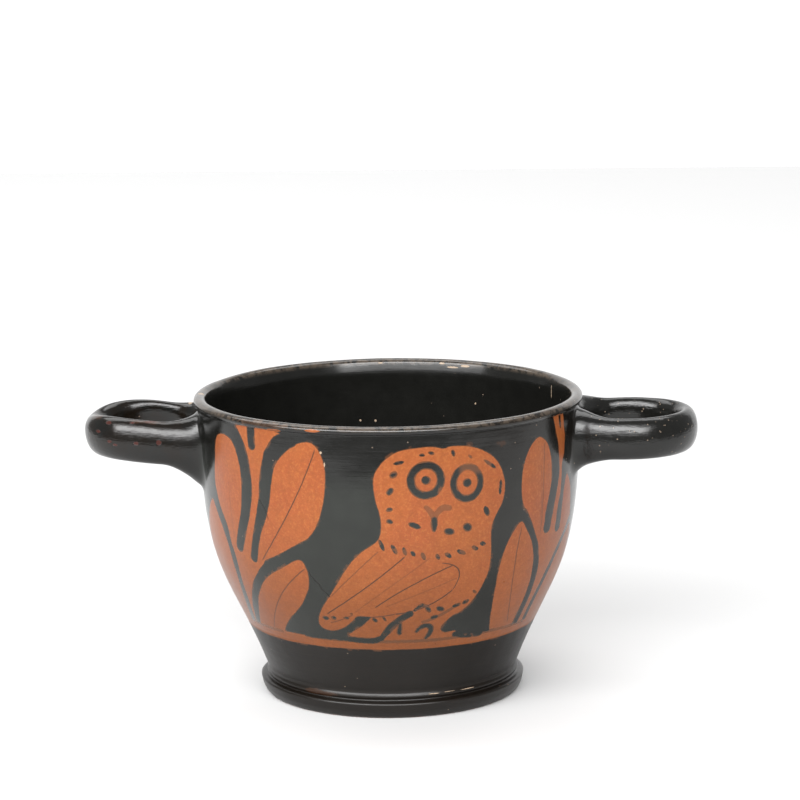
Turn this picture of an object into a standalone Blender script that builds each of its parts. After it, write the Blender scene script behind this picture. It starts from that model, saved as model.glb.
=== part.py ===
"""Skyphos: a wheel-thrown clay drinking cup with a ring foot and two level loop handles.

Metres, +Z up. The origin is the centre of the face that the foot rests on. The handles
lie along X, and the picture side faces -Y. Thrown bowl, foot and handles are one fired piece.
"""
import math

import bpy
from mathutils import Vector

MM = 0.001

# Bowl, outside
HEIGHT = 80.0 * MM
WALL_TOP_RADIUS = 50.4 * MM
WALL_BASE_RADIUS = 33.2 * MM
WALL_BASE_LEAN = math.radians(20.5)
WALL_BASE_PULL = 30.0 * MM
WALL_TOP_PULL = 47.0 * MM

# Bowl, inside
WALL = 3.0 * MM
FLOOR = 4.2 * MM
CORNER_HEIGHT = 9.0 * MM
CORNER_PULL = 7.0 * MM
FLOOR_PULL = 12.0 * MM

# Lip: a rounded bead that stands a little proud of the wall
LIP_THICKNESS = 3.2 * MM
LIP_DEPTH = 2.4 * MM
LIP_OVERHANG = 0.8 * MM

# Foot: a ring with a bulging face, a bevelled upper edge and a groove above it
FOOT_RADIUS = 35.15 * MM
FOOT_HEIGHT = 4.9 * MM
FOOT_BULGE = 1.5 * MM
FOOT_WIDEST_HEIGHT = 4.0 * MM
FOOT_EDGE_ROUND = 0.4 * MM
FOOT_BEVEL = 0.5 * MM
FOOT_RING_WIDTH = 4.4 * MM
RECESS_DEPTH = 3.8 * MM
RECESS_CORNER = 2.6 * MM
GROOVE_RADIUS = 33.2 * MM
GROOVE_WIDTH = 0.8 * MM
RIDGE_WIDTH = 1.2 * MM
RIDGE_OVERHANG = 0.5 * MM

# Handles: oval in section, on an elliptic loop that pinches in towards the wall
HANDLE_THICKNESS = 5.8 * MM
HANDLE_FULLNESS = 2.3            # 2 is a plain oval, more is squarer
HANDLE_REACH = 30.7 * MM
ROOT_HALF_GAP = 10.2 * MM
LEFT_DEPTH = 11.4 * MM
LEFT_LOOP_HALF_WIDTH = 14.6 * MM
LEFT_ROOT_HEIGHT = 68.0 * MM
LEFT_TIP_HEIGHT = 70.3 * MM
LEFT_TIP_DROP = 1.5 * MM         # how far the top of the roll sinks at the loop's tip
RIGHT_DEPTH = 10.9 * MM
RIGHT_LOOP_HALF_WIDTH = 16.0 * MM
RIGHT_ROOT_HEIGHT = 69.3 * MM
RIGHT_TIP_HEIGHT = 70.3 * MM
RIGHT_TIP_DROP = 0.0 * MM

# The handles swell where they are luted to the wall
SWELL_RUN = 9.0 * MM
SWELL_SIDE = 2.0 * MM
SWELL_ABOVE = 2.0 * MM
SWELL_BELOW = 3.8 * MM

# Facets
SIDES = 72
WALL_STEPS = 10
BEAD_STEPS = 8
CORNER_STEPS = 4
HANDLE_STATIONS = 24
HANDLE_SIDES = 14

CLAY_BLACK = (0.030, 0.029, 0.027, 1.0)
CLAY_ROUGHNESS = 0.32


def bezier(start, pull, back, end, t):
    """Point (radius, height) at t on a cubic curve from start to end."""
    s = 1.0 - t
    return start * s ** 3 + pull * (3 * s * s * t) + back * (3 * s * t * t) + end * t ** 3


def wall_base_height():
    return FOOT_HEIGHT + GROOVE_WIDTH + RIDGE_WIDTH


def wall_curve():
    """The four points of the outer wall's curve, from the foot to the lip."""
    base = Vector((WALL_BASE_RADIUS, wall_base_height()))
    top = Vector((WALL_TOP_RADIUS, HEIGHT - LIP_DEPTH))
    lean = Vector((math.sin(WALL_BASE_LEAN), math.cos(WALL_BASE_LEAN)))
    return base, base + lean * WALL_BASE_PULL, top - Vector((0, WALL_TOP_PULL)), top


def wall_at(t):
    """Point on the outer wall and its outward normal, both (radius, height)."""
    step = 0.001
    curve = wall_curve()
    low = bezier(*curve, max(t - step, 0.0))
    high = bezier(*curve, min(t + step, 1.0))
    along = (high - low).normalized()
    return bezier(*curve, t), Vector((along.y, -along.x))


def wall_radius(height):
    """Outer radius of the wall at a height, found by halving."""
    low, high = 0.0, 1.0
    for _ in range(30):
        middle = (low + high) / 2
        if wall_at(middle)[0].y < height:
            low = middle
        else:
            high = middle
    return wall_at(low)[0].x


def lip_profile():
    """The bead of the lip, from its inner side over the top to its outer side."""
    centre = Vector((WALL_TOP_RADIUS + LIP_OVERHANG - LIP_THICKNESS / 2, HEIGHT - LIP_DEPTH / 2))
    start, stop = math.radians(180), math.radians(-60)
    points = []
    for i in range(BEAD_STEPS + 1):
        angle = start + (stop - start) * i / BEAD_STEPS
        bead = Vector((math.cos(angle) * LIP_THICKNESS, math.sin(angle) * LIP_DEPTH))
        points.append(centre + bead / 2)
    return points


def wall_profile():
    """The outer wall, from the lip down to the foot."""
    return [wall_at(1 - i / WALL_STEPS)[0] for i in range(WALL_STEPS + 1)]


def inner_profile():
    """The inside of the bowl, from the middle of its floor up to the lip."""
    floor_height = RECESS_DEPTH + FLOOR
    wall = []
    for i in range(WALL_STEPS + 1):
        point, normal = wall_at(i / WALL_STEPS)
        inside = point - normal * WALL
        if inside.y > floor_height + CORNER_HEIGHT:
            wall.append(inside)
    foot = wall[0]
    down = (wall[0] - wall[1]).normalized()
    floor_edge = Vector((foot.x - CORNER_HEIGHT - FLOOR_PULL, floor_height))
    pulls = foot + down * CORNER_PULL, floor_edge + Vector((FLOOR_PULL, 0))
    corner = [bezier(floor_edge, pulls[1], pulls[0], foot, i / CORNER_STEPS) for i in range(CORNER_STEPS)]
    return [Vector((0, floor_height))] + corner + wall


def foot_profile():
    """Ridge, groove, foot and underside, from the wall down and in to the axis."""
    ridge_top = FOOT_HEIGHT + GROOVE_WIDTH + RIDGE_WIDTH * 0.6
    ridge_low = FOOT_HEIGHT + GROOVE_WIDTH + RIDGE_WIDTH * 0.2
    ridge_radius = WALL_BASE_RADIUS + RIDGE_OVERHANG
    points = [
        Vector((ridge_radius - RIDGE_OVERHANG / 3, ridge_top)),
        Vector((ridge_radius, ridge_low)),
        Vector((GROOVE_RADIUS, FOOT_HEIGHT + GROOVE_WIDTH)),
        Vector((GROOVE_RADIUS, FOOT_HEIGHT)),
    ]

    def face_radius(height):
        return FOOT_RADIUS - FOOT_BULGE * ((height - FOOT_WIDEST_HEIGHT) / FOOT_WIDEST_HEIGHT) ** 2

    points.append(Vector((face_radius(FOOT_HEIGHT) - FOOT_BEVEL, FOOT_HEIGHT)))
    top = FOOT_HEIGHT - FOOT_BEVEL
    heights = top, FOOT_WIDEST_HEIGHT, FOOT_WIDEST_HEIGHT / 2, FOOT_EDGE_ROUND
    points += [Vector((face_radius(height), height)) for height in heights]
    rest_outer = face_radius(0) - FOOT_EDGE_ROUND
    rest_inner = rest_outer - FOOT_RING_WIDTH
    points += [
        Vector((rest_outer, 0)),
        Vector((rest_inner, 0)),
        Vector((rest_inner - RECESS_CORNER / 3, RECESS_DEPTH * 0.6)),
        Vector((rest_inner - RECESS_CORNER, RECESS_DEPTH)),
        Vector((0, RECESS_DEPTH)),
    ]
    return points


def clay():
    material = bpy.data.materials.new("black_clay")
    material.use_nodes = True
    shader = material.node_tree.nodes["Principled BSDF"]
    shader.inputs["Base Color"].default_value = CLAY_BLACK
    shader.inputs["Roughness"].default_value = CLAY_ROUGHNESS
    shader.inputs["Metallic"].default_value = 0.0
    return material


def add_mesh(name, points, edges, faces):
    mesh = bpy.data.meshes.new(name)
    mesh.from_pydata(points, edges, faces)
    mesh.update()
    thing = bpy.data.objects.new(name, mesh)
    bpy.context.collection.objects.link(thing)
    return thing


def turned_bowl():
    """The thrown bowl and its foot: one closed profile, turned about Z."""
    profile = inner_profile() + lip_profile() + wall_profile() + foot_profile()
    points = [(point.x, 0.0, point.y) for point in profile]
    edges = [(i, i + 1) for i in range(len(points) - 1)]
    bowl = add_mesh("skyphos", points, edges, [])
    screw = bowl.modifiers.new("turn", 'SCREW')
    screw.axis = 'Z'
    screw.steps = SIDES
    screw.render_steps = SIDES
    screw.use_merge_vertices = True
    screw.merge_threshold = 0.00001
    screw.use_smooth_shade = True
    return bowl


def loop_path(half_width):
    """Centre line of a handle in plan, and its unit direction, from one root to the other."""
    wall_x = WALL_TOP_RADIUS
    tip_x = wall_x + HANDLE_REACH - HANDLE_THICKNESS / 2
    pinch = math.asin(ROOT_HALF_GAP / half_width)
    half_length = (tip_x - wall_x) / (1 + math.cos(pinch))
    centre_x = tip_x - half_length
    stations = []
    for i in range(HANDLE_STATIONS + 1):
        angle = (math.pi - pinch) * (2 * i / HANDLE_STATIONS - 1)
        place = Vector((centre_x + half_length * math.cos(angle), half_width * math.sin(angle)))
        along = Vector((-half_length * math.sin(angle), half_width * math.cos(angle))).normalized()
        stations.append((place, along))
    return stations


def full(share):
    """A cosine or sine drawn out so that the oval it makes is a little square."""
    return math.copysign(abs(share) ** (2 / HANDLE_FULLNESS), share)


def handle_ring(place, along, height, depth, drop):
    """One oval section of a handle, swollen where it nears the wall."""
    clear = max(place.x - WALL_TOP_RADIUS, 0.0)
    swell = max(1 - clear / SWELL_RUN, 0.0) ** 2
    across = Vector((along.y, -along.x)) * (HANDLE_THICKNESS / 2 + SWELL_SIDE * swell)
    ring = []
    for i in range(HANDLE_SIDES):
        angle = 2 * math.pi * i / HANDLE_SIDES
        side = place + across * full(math.cos(angle))
        rise = full(math.sin(angle))
        grow = SWELL_ABOVE * swell - drop if rise > 0 else SWELL_BELOW * swell
        ring.append(Vector((side.x, side.y, height + rise * (depth / 2 + grow))))
    return ring


def sunk_in_wall(point):
    """The point moved level towards the axis, to the middle of the wall's thickness."""
    flat = Vector((point.x, point.y)).normalized() * (wall_radius(point.z) - WALL / 2)
    return Vector((flat.x, flat.y, point.z))


def handle(name, side, half_width, depth, root_height, tip_height, tip_drop):
    """One handle on the +X side (side 1) or the -X side (side -1), its roots sunk in the wall."""
    rings = []
    for place, along in loop_path(half_width):
        out = (place.x - WALL_TOP_RADIUS) / (HANDLE_REACH - HANDLE_THICKNESS / 2)
        height = root_height + (tip_height - root_height) * (1 - (1 - out) ** 2)
        rings.append(handle_ring(place, along, height, depth, tip_drop * out ** 12))
    rings.insert(0, [sunk_in_wall(point) for point in rings[0]])
    rings.append([sunk_in_wall(point) for point in rings[-1]])
    caps = [sunk_in_wall(sum(ring, Vector((0, 0, 0))) / HANDLE_SIDES) for ring in (rings[0], rings[-1])]
    points = [point for ring in rings for point in ring] + caps

    faces = []
    last = (len(rings) - 1) * HANDLE_SIDES
    for j in range(HANDLE_SIDES):
        k = (j + 1) % HANDLE_SIDES
        for low in range(0, last, HANDLE_SIDES):
            high = low + HANDLE_SIDES
            faces.append((low + j, low + k, high + k, high + j))
        faces.append((k, j, last + HANDLE_SIDES))
        faces.append((last + j, last + k, last + HANDLE_SIDES + 1))
    faces = [face[::side] for face in faces]
    return add_mesh(name, [(side * point.x, point.y, point.z) for point in points], [], faces)


def join_handle(bowl, loop):
    union = bowl.modifiers.new(loop.name, 'BOOLEAN')
    union.operation = 'UNION'
    union.solver = 'EXACT'
    union.object = loop
    loop.hide_render = True
    loop.display_type = 'WIRE'


def build():
    for thing in list(bpy.data.objects):
        bpy.data.objects.remove(thing)
    bowl = turned_bowl()
    bowl.data.materials.append(clay())
    right_sizes = RIGHT_LOOP_HALF_WIDTH, RIGHT_DEPTH, RIGHT_ROOT_HEIGHT, RIGHT_TIP_HEIGHT, RIGHT_TIP_DROP
    left_sizes = LEFT_LOOP_HALF_WIDTH, LEFT_DEPTH, LEFT_ROOT_HEIGHT, LEFT_TIP_HEIGHT, LEFT_TIP_DROP
    right = handle("right_handle", 1, *right_sizes)
    left = handle("left_handle", -1, *left_sizes)
    join_handle(bowl, right)
    join_handle(bowl, left)


build()
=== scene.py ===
"""Skyphos: a wheel-thrown black-gloss drinking cup with an owl between olive sprays.

One operator each throws the bowl, rolls the handles, joins them, paints the picture and sets
the stage. Metres, +Z up: the handles lie along X and the picture faces -Y.
"""
import functools
import math

import bmesh
import bpy
import numpy as np
from mathutils import Matrix, Vector, noise


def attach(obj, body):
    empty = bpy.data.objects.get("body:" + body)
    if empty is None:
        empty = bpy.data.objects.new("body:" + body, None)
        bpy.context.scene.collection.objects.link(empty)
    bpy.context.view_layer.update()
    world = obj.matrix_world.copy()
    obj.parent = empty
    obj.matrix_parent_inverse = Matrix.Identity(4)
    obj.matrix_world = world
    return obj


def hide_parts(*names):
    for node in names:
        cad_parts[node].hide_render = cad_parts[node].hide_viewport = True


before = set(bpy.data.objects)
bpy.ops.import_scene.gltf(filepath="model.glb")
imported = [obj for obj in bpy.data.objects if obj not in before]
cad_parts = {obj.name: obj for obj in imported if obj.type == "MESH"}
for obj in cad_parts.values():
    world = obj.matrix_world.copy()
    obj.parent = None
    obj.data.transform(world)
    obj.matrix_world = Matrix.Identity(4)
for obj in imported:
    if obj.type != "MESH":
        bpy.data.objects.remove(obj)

bl_info = {
    "name": "Skyphos",
    "version": (1, 0, 0),
    "blender": (4, 5, 0),
    "location": "View3D > Sidebar > Skyphos",
    "description": "A thrown and painted drinking cup with two loop handles",
    "category": "Object",
}

MM = 0.001
CUP = "skyphos_cup"
BOWL = "thrown_bowl"
HANDLES = ("left_handle", "right_handle")
MERGE_DISTANCE = 0.02 * MM
TRIANGLE_LIMIT = 200000
FRAME_PIXELS = 800


def length(name, description, millimetres):
    """A size that the sidebar shows as a length."""
    return bpy.props.FloatProperty(
        name=name, description=description, default=millimetres * MM, min=0.0, precision=5,
        subtype='DISTANCE', unit='LENGTH')


def amount(name, description, default, low=0.0, high=1.0):
    return bpy.props.FloatProperty(name=name, description=description, default=default, min=low, max=high)


def count(name, description, default):
    return bpy.props.IntProperty(name=name, description=description, default=default, min=3)


def colour(name, description, default):
    return bpy.props.FloatVectorProperty(
        name=name, description=description, default=default, size=3, min=0.0, max=1.0, subtype='COLOR')


class SkyphosBowl(bpy.types.PropertyGroup):
    """Sizes of the thrown bowl and its foot."""
    height: length("Height", "From the table to the top of the lip", 80.0)
    wall_top_radius: length("Wall top radius", "Outer radius under the lip", 50.4)
    wall_base_radius: length("Wall base radius", "Outer radius above the foot", 33.2)
    wall_base_lean: bpy.props.FloatProperty(
        name="Wall base lean", description="How far the wall leans out above the foot",
        default=math.radians(20.5), subtype='ANGLE', unit='ROTATION')
    wall_base_pull: length("Wall base pull", "How long the wall keeps its lean", 30.0)
    wall_top_pull: length("Wall top pull", "How long the wall stays upright under the lip", 47.0)
    wall: length("Wall", "Thickness of the wall", 3.0)
    floor: length("Floor", "Thickness of the floor", 4.2)
    corner_height: length("Corner height", "Height of the curve between floor and wall", 9.0)
    corner_pull: length("Corner pull", "Fullness of that curve at the wall", 7.0)
    floor_pull: length("Floor pull", "Fullness of that curve at the floor", 12.0)
    lip_thickness: length("Lip thickness", "Width of the lip's bead", 3.2)
    lip_depth: length("Lip depth", "Height of the lip's bead", 2.4)
    lip_overhang: length("Lip overhang", "How far the bead stands proud of the wall", 0.8)
    foot_radius: length("Foot radius", "Widest radius of the foot", 35.15)
    foot_height: length("Foot height", "Height of the foot's ring", 4.5)
    foot_bulge: length("Foot bulge", "How far the foot's face draws in below", 1.5)
    foot_widest: length("Foot widest height", "Where the foot is widest", 4.0)
    foot_edge: length("Foot edge", "Rounding of the foot's lower edge", 0.4)
    foot_bevel: length("Foot bevel", "Bevel of the foot's upper edge", 0.5)
    foot_ring: length("Foot ring", "Width of the ring that the cup rests on", 4.4)
    recess_depth: length("Recess depth", "Depth of the hollow under the foot", 3.8)
    recess_corner: length("Recess corner", "Run of the curve round that hollow", 2.6)
    groove_radius: length("Groove radius", "Radius at the bottom of the groove over the foot", 33.2)
    groove_width: length("Groove width", "Width of that groove", 0.5)
    ridge_width: length("Ridge width", "Width of the ridge over the groove", 1.7)
    ridge_overhang: length("Ridge overhang", "How far the ridge stands out", 0.5)
    picture_low: length("Picture low edge", "Where the finely divided wall begins", 18.6)
    picture_columns: count("Picture columns", "Divisions round the painted wall", 480)
    plain_columns: count("Plain columns", "Divisions round the lip, inside and foot", 240)
    gather: amount("Gather", "How far the divisions gather towards the owl", 0.30)
    unevenness: length("Unevenness", "How far the hand-made surface wanders", 0.12)
    out_of_round: length("Out of round", "How far the lip bulges on the left", 0.5)
    back_lift: length("Back lift", "How much higher the lip stands at the back", 0.3)
    owl_side: bpy.props.FloatProperty(
        name="Owl side", description="Azimuth where the divisions are closest",
        default=math.radians(12.0), subtype='ANGLE', unit='ROTATION')


class SkyphosHandles(bpy.types.PropertyGroup):
    """Sizes of the two rolled loop handles."""
    thickness: length("Thickness", "Level thickness of a handle's roll", 5.8)
    fullness: amount("Fullness", "2 is a plain oval, more is squarer", 2.0, 1.5, 6.0)
    root_half_gap: length("Root half gap", "Half of the distance between a handle's roots", 10.2)
    left_reach: length("Left reach", "How far the left handle stands out from the wall", 30.3)
    left_half_width: length("Left half width", "Half of the left loop's width", 14.6)
    left_depth: length("Left depth", "Upright depth of the left roll", 11.4)
    left_root_height: length("Left root height", "Height of the left handle's roots", 68.0)
    left_tip_height: length("Left tip height", "Height of the left handle's tip", 70.3)
    left_tip_drop: length("Left tip drop", "How far the top of the left roll sinks at its tip", 1.5)
    left_lean: amount("Left lean", "How far the left roll leans into the loop along its back strand", 0.45)
    left_back_lift: length("Left back lift", "How much higher the left loop's back strand lies", 0.45)
    left_swell_below: length("Left swell below", "How far the left roots swell below", 5.2)
    right_reach: length("Right reach", "How far the right handle stands out from the wall", 31.1)
    right_half_width: length("Right half width", "Half of the right loop's width", 16.0)
    right_depth: length("Right depth", "Upright depth of the right roll", 10.9)
    right_root_height: length("Right root height", "Height of the right handle's roots", 69.6)
    right_tip_height: length("Right tip height", "Height of the right handle's tip", 70.0)
    right_tip_drop: length("Right tip drop", "How far the top of the right roll sinks at its tip", 0.0)
    right_lean: amount("Right lean", "How far the right roll leans into the loop along its back strand", 0.25)
    right_back_lift: length("Right back lift", "How much higher the right loop's back strand lies", 0.0)
    right_swell_below: length("Right swell below", "How far the right roots swell below", 3.2)
    swell_run: length("Swell run", "Length over which a root swells", 9.0)
    swell_ease: length("Swell ease", "Length over which the swelling turns into the wall", 2.0)
    swell_side: length("Swell side", "How far a root swells sideways", 2.3)
    swell_above: length("Swell above", "How far a root swells above", 2.3)
    stations: count("Stations", "Divisions along a loop", 96)
    sides: count("Sides", "Divisions round a roll", 40)
    fillet: length("Fillet", "Reach of the clay smoothed into each joint", 4.0)


class SkyphosFinish(bpy.types.PropertyGroup):
    """Colours and finish of the clay and the gloss."""
    clay: colour("Clay", "Reserved clay", (0.228, 0.061, 0.0142))
    clay_red: colour("Red clay", "Reserved clay where it is redder", (0.216, 0.050, 0.0145))
    clay_pale: colour("Pale clay", "Pale speckle in the reserved clay", (0.265, 0.097, 0.023))
    # Partly the clay's own browner fire colour low on the wall, partly painted shade darkening it towards the
    # bottom
    clay_low_and_shade: colour("Low clay", "Reserved clay low on the wall", (0.152, 0.045, 0.0120))
    gloss: colour("Gloss", "Black gloss", (0.0095, 0.0108, 0.0088))
    gloss_high: colour("High gloss", "Black gloss under the lip and on the handles", (0.0050, 0.0050, 0.0044))
    # Also laid on the right of the wall as painted shade
    gloss_low_and_shade: colour("Low gloss", "Gloss on the lower wall and foot", (0.0044, 0.0030, 0.0019))
    thin_gloss: colour("Thin gloss", "Gloss brushed on thinly", (0.085, 0.032, 0.012))
    incised: colour("Incised", "Fine drawn lines", (0.05, 0.020, 0.010))
    crack: colour("Crack", "Cracks", (0.006, 0.005, 0.004))
    fleck: colour("Fleck", "Flakes in the gloss", (0.20, 0.15, 0.11))
    chip: colour("Chip", "Bare clay in chips", (0.36, 0.27, 0.19))
    pit: colour("Pit", "Red clay in pits", (0.060, 0.014, 0.010))
    gloss_roughness: amount("Gloss roughness", "Roughness of the black gloss", 0.17)
    clay_roughness: amount("Clay roughness", "Roughness of the reserved clay", 0.30)
    gloss_ior: amount("Gloss refraction", "Refractive index of the black gloss", 1.46, 1.0, 3.0)
    clay_ior: amount("Clay refraction", "Refractive index of the burnished clay", 1.38, 1.0, 3.0)
    matt_ior: amount("Matt refraction", "Refractive index of the gloss where it fired matt", 1.18, 1.0, 3.0)


class SkyphosStage(bpy.types.PropertyGroup):
    """Floor, lights and camera."""
    floor_colour: colour("Floor", "Floor", (0.54, 0.54, 0.54))
    sky: amount("Sky", "Brightness of the room all round", 0.3, 0.0, 10.0)
    key: amount("Key", "Brightness of the broad box in front", 3.8, 0.0, 50.0)
    key_heart: amount("Key heart", "How much brighter the box is in its middle", 9.4, 0.0, 50.0)
    overhead: amount("Overhead", "Brightness of the box overhead", 3.5, 0.0, 50.0)
    backdrop: amount("Backdrop", "Brightness of the lit paper behind", 1.15, 0.0, 50.0)


# Node trees

class Number:
    """A number socket in a node tree. Sums written with it add the tree's Math nodes."""

    def __init__(self, tree, socket):
        self.tree = tree
        self.socket = socket

    def __add__(self, other):
        return self.tree.math('ADD', self, other)

    def __sub__(self, other):
        return self.tree.math('SUBTRACT', self, other)

    def __rsub__(self, other):
        return self.tree.math('SUBTRACT', other, self)

    def __mul__(self, other):
        return self.tree.math('MULTIPLY', self, other)

    def __truediv__(self, other):
        return self.tree.math('DIVIDE', self, other)

    def __rtruediv__(self, other):
        return self.tree.math('DIVIDE', other, self)

    def __pow__(self, other):
        return self.tree.math('POWER', self, other)

    def __neg__(self):
        return self.tree.math('MULTIPLY', self, -1.0)

    def __abs__(self):
        return self.tree.math('ABSOLUTE', self)

    __radd__ = __add__
    __rmul__ = __mul__


class Tree:
    """Adds nodes to one node tree and links them."""

    def __init__(self, tree):
        self.tree = tree

    def node(self, kind, settings=None, sockets=None):
        """A node of that type, with its settings, and its sockets' values or links."""
        node = self.tree.nodes.new(kind)
        for name, value in (settings or {}).items():
            setattr(node, name, value)
        for name, value in (sockets or {}).items():
            self.feed(node.inputs[name], value)
        return node

    def feed(self, socket, value):
        if isinstance(value, Number):
            value = value.socket
        if isinstance(value, bpy.types.NodeSocket):
            self.tree.links.new(value, socket)
        else:
            socket.default_value = value

    def number(self, socket):
        return Number(self, socket)

    def math(self, operation, *values):
        node = self.node("ShaderNodeMath", {"operation": operation}, dict(enumerate(values)))
        return Number(self, node.outputs[0])

    def split(self, vector):
        """The three numbers of a vector socket."""
        node = self.node("ShaderNodeSeparateXYZ", None, {0: vector})
        return [Number(self, socket) for socket in node.outputs]

    def vector(self, x, y, z):
        return self.node("ShaderNodeCombineXYZ", None, {0: x, 1: y, 2: z}).outputs[0]


def geometry_tree(name, numbers=(), counts=()):
    """A new geometry tree with named number and count inputs, and its input node."""
    group = bpy.data.node_groups.new(name, 'GeometryNodeTree')
    sockets = [("Geometry", 'NodeSocketGeometry')]
    sockets += [(label, 'NodeSocketFloat') for label in numbers]
    sockets += [(label, 'NodeSocketInt') for label in counts]
    sockets += [("Finish", 'NodeSocketMaterial')]
    for label, kind in sockets:
        group.interface.new_socket(label, in_out='INPUT', socket_type=kind)
    group.interface.new_socket("Geometry", in_out='OUTPUT', socket_type='NodeSocketGeometry')
    tree = Tree(group)
    start = tree.node("NodeGroupInput")
    inputs = {label: Number(tree, start.outputs[label]) for label in list(numbers) + list(counts)}
    return tree, start, inputs


def close_tree(tree, start, mesh):
    """Ends a geometry tree: doubles merged, shaded smooth, made real and given its finish."""
    merged = tree.node("GeometryNodeMergeByDistance", None, {"Geometry": mesh, "Distance": MERGE_DISTANCE})
    smooth = tree.node("GeometryNodeSetShadeSmooth", None, {"Geometry": merged.outputs[0]})
    real = tree.node("GeometryNodeRealizeInstances", None, {"Geometry": smooth.outputs[0]})
    finish = {"Geometry": real.outputs[0], "Material": start.outputs["Finish"]}
    done = tree.node("GeometryNodeSetMaterial", None, finish)
    tree.node("NodeGroupOutput", None, {"Geometry": done.outputs[0]})


def wheel_tree():
    """Turns a section, a line of points in the XZ plane, about Z. Columns gather towards one side."""
    tree, start, size = geometry_tree("turned_on_wheel", ("Gather", "Side"), ("Columns",))
    section = start.outputs["Geometry"]
    points = tree.node("GeometryNodeAttributeDomainSize", None, {"Geometry": section})
    rows = tree.number(points.outputs["Point Count"])
    sheet = tree.node("GeometryNodeMeshGrid", None, {
        "Size X": 1.0, "Size Y": 1.0, "Vertices X": size["Columns"] + 1, "Vertices Y": rows})
    position = tree.node("GeometryNodeInputPosition").outputs[0]
    across, along, _ = tree.split(position)
    row = tree.math('ROUND', (along + 0.5) * (rows - 1))
    spot = tree.node("GeometryNodeSampleIndex", {"data_type": 'FLOAT_VECTOR', "domain": 'POINT'}, {
        "Geometry": section, "Value": position, "Index": row})
    radius, _, height = tree.split(spot.outputs["Value"])
    turn = across * (2 * math.pi)
    azimuth = turn - size["Gather"] * tree.math('SINE', turn - size["Side"])
    place = tree.vector(
        radius * tree.math('SINE', azimuth), radius * tree.math('COSINE', azimuth) * -1, height)
    turned = tree.node("GeometryNodeSetPosition", None, {
        "Geometry": sheet.outputs["Mesh"], "Position": place})
    close_tree(tree, start, turned.outputs[0])
    return tree.tree


HANDLE_SIZES = (
    "Wall radius", "Half width", "Reach", "Thickness", "Depth", "Fullness", "Root half gap", "Root height",
    "Tip height", "Tip drop", "Lean", "Back lift", "Swell run", "Swell ease", "Swell side", "Swell above",
    "Swell below")
ARRAY_SUMS = {
    'SINE': np.sin, 'COSINE': np.cos, 'ARCSINE': np.arcsin, 'SQRT': np.sqrt, 'MAXIMUM': np.maximum}


def array_sum(operation, *values):
    """The counterpart of Tree.math for plain numbers and arrays."""
    return ARRAY_SUMS[operation](*values)


def handle_sizes(size, bowl, side):
    """Every size of one handle. One that differs between the two has left or right in its name."""
    name = "left" if side < 0 else "right"
    sizes = {"Wall radius": bowl.wall_top_radius}
    for label in HANDLE_SIZES[1:]:
        part = label.lower().replace(" ", "_")
        own = f"{name}_{part}"
        sizes[label] = getattr(size, own if hasattr(size, own) else part)
    return sizes


def loop_form(size, along, maths):
    """A handle's loop at a share along it, from -0.5 at one root to 0.5 at the other.

    Gives the place and direction of its centre line, its level, how much of it lies behind, its
    half thickness, and its reach above and below. The maths are a tree's or those of plain arrays.
    """
    wall, run = size["Wall radius"], size["Reach"] - size["Thickness"] / 2
    pinch = maths('ARCSINE', size["Root half gap"] / size["Half width"])
    half_length = run / (1 + maths('COSINE', pinch))
    angle = (math.pi - pinch) * along * 2
    cosine, sine = maths('COSINE', angle), maths('SINE', angle)
    x = wall + run - half_length + half_length * cosine
    way_x, way_y = -half_length * sine, size["Half width"] * cosine
    way = maths('SQRT', way_x * way_x + way_y * way_y)
    way_x, way_y = way_x / way, way_y / way
    out = x - wall
    clear = (out + maths('SQRT', out * out + size["Swell ease"] * size["Swell ease"])) / 2
    swell = maths('MAXIMUM', 1 - clear / size["Swell run"], 0.0) ** 2
    behind = maths('MAXIMUM', sine, 0.0) * way_x ** 2
    share = out / run
    level = size["Root height"] + (size["Tip height"] - size["Root height"]) * (1 - (1 - share) ** 2)
    return (
        x, size["Half width"] * sine, way_x, way_y, level, behind,
        size["Thickness"] / 2 + size["Swell side"] * swell,
        size["Depth"] / 2 + (size["Swell above"] * swell - size["Tip drop"] * share ** 12),
        size["Depth"] / 2 + size["Swell below"] * swell)


def handle_tree():
    """Sweeps an oval along a loop that pinches in towards the wall, and swells its roots."""
    tree, start, size = geometry_tree("rolled_handle", HANDLE_SIZES, ("Stations", "Sides"))
    sheet = tree.node("GeometryNodeMeshGrid", None, {
        "Size X": 1.0, "Size Y": 1.0, "Vertices X": size["Stations"] + 1, "Vertices Y": size["Sides"] + 1})
    along, around, _ = tree.split(tree.node("GeometryNodeInputPosition").outputs[0])
    x, y, way_x, way_y, level, behind, half, above, below = loop_form(size, along, tree.math)

    def full(share):
        return tree.math('SIGN', share) * abs(share) ** (2 / size["Fullness"])

    turn = around * (2 * math.pi)
    side, rise = full(tree.math('COSINE', turn)), full(tree.math('SINE', turn))
    top = tree.math('GREATER_THAN', rise, 0.0)
    height = rise * (below * (1 - top) + above * top)
    out = side * half - size["Lean"] * height * behind
    height = level + height + size["Back lift"] * behind
    place = tree.vector(x + way_y * out, y - way_x * out, height)
    swept = tree.node("GeometryNodeSetPosition", None, {
        "Geometry": sheet.outputs["Mesh"], "Position": place})
    close_tree(tree, start, swept.outputs[0])
    return tree.tree


def add_mesh(name, points, edges=(), faces=()):
    mesh = bpy.data.meshes.new(name)
    mesh.from_pydata([tuple(point) for point in points], edges, faces)
    mesh.update()
    thing = bpy.data.objects.new(name, mesh)
    bpy.context.scene.collection.objects.link(thing)
    return thing


def read_vertices(mesh, what="co"):
    """The places or normals of a mesh's vertices, one row each."""
    values = np.zeros(len(mesh.vertices) * 3)
    mesh.vertices.foreach_get(what, values)
    return values.reshape(-1, 3)


def write_vertices(mesh, spots):
    mesh.vertices.foreach_set("co", spots.ravel())
    mesh.update()


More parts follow.
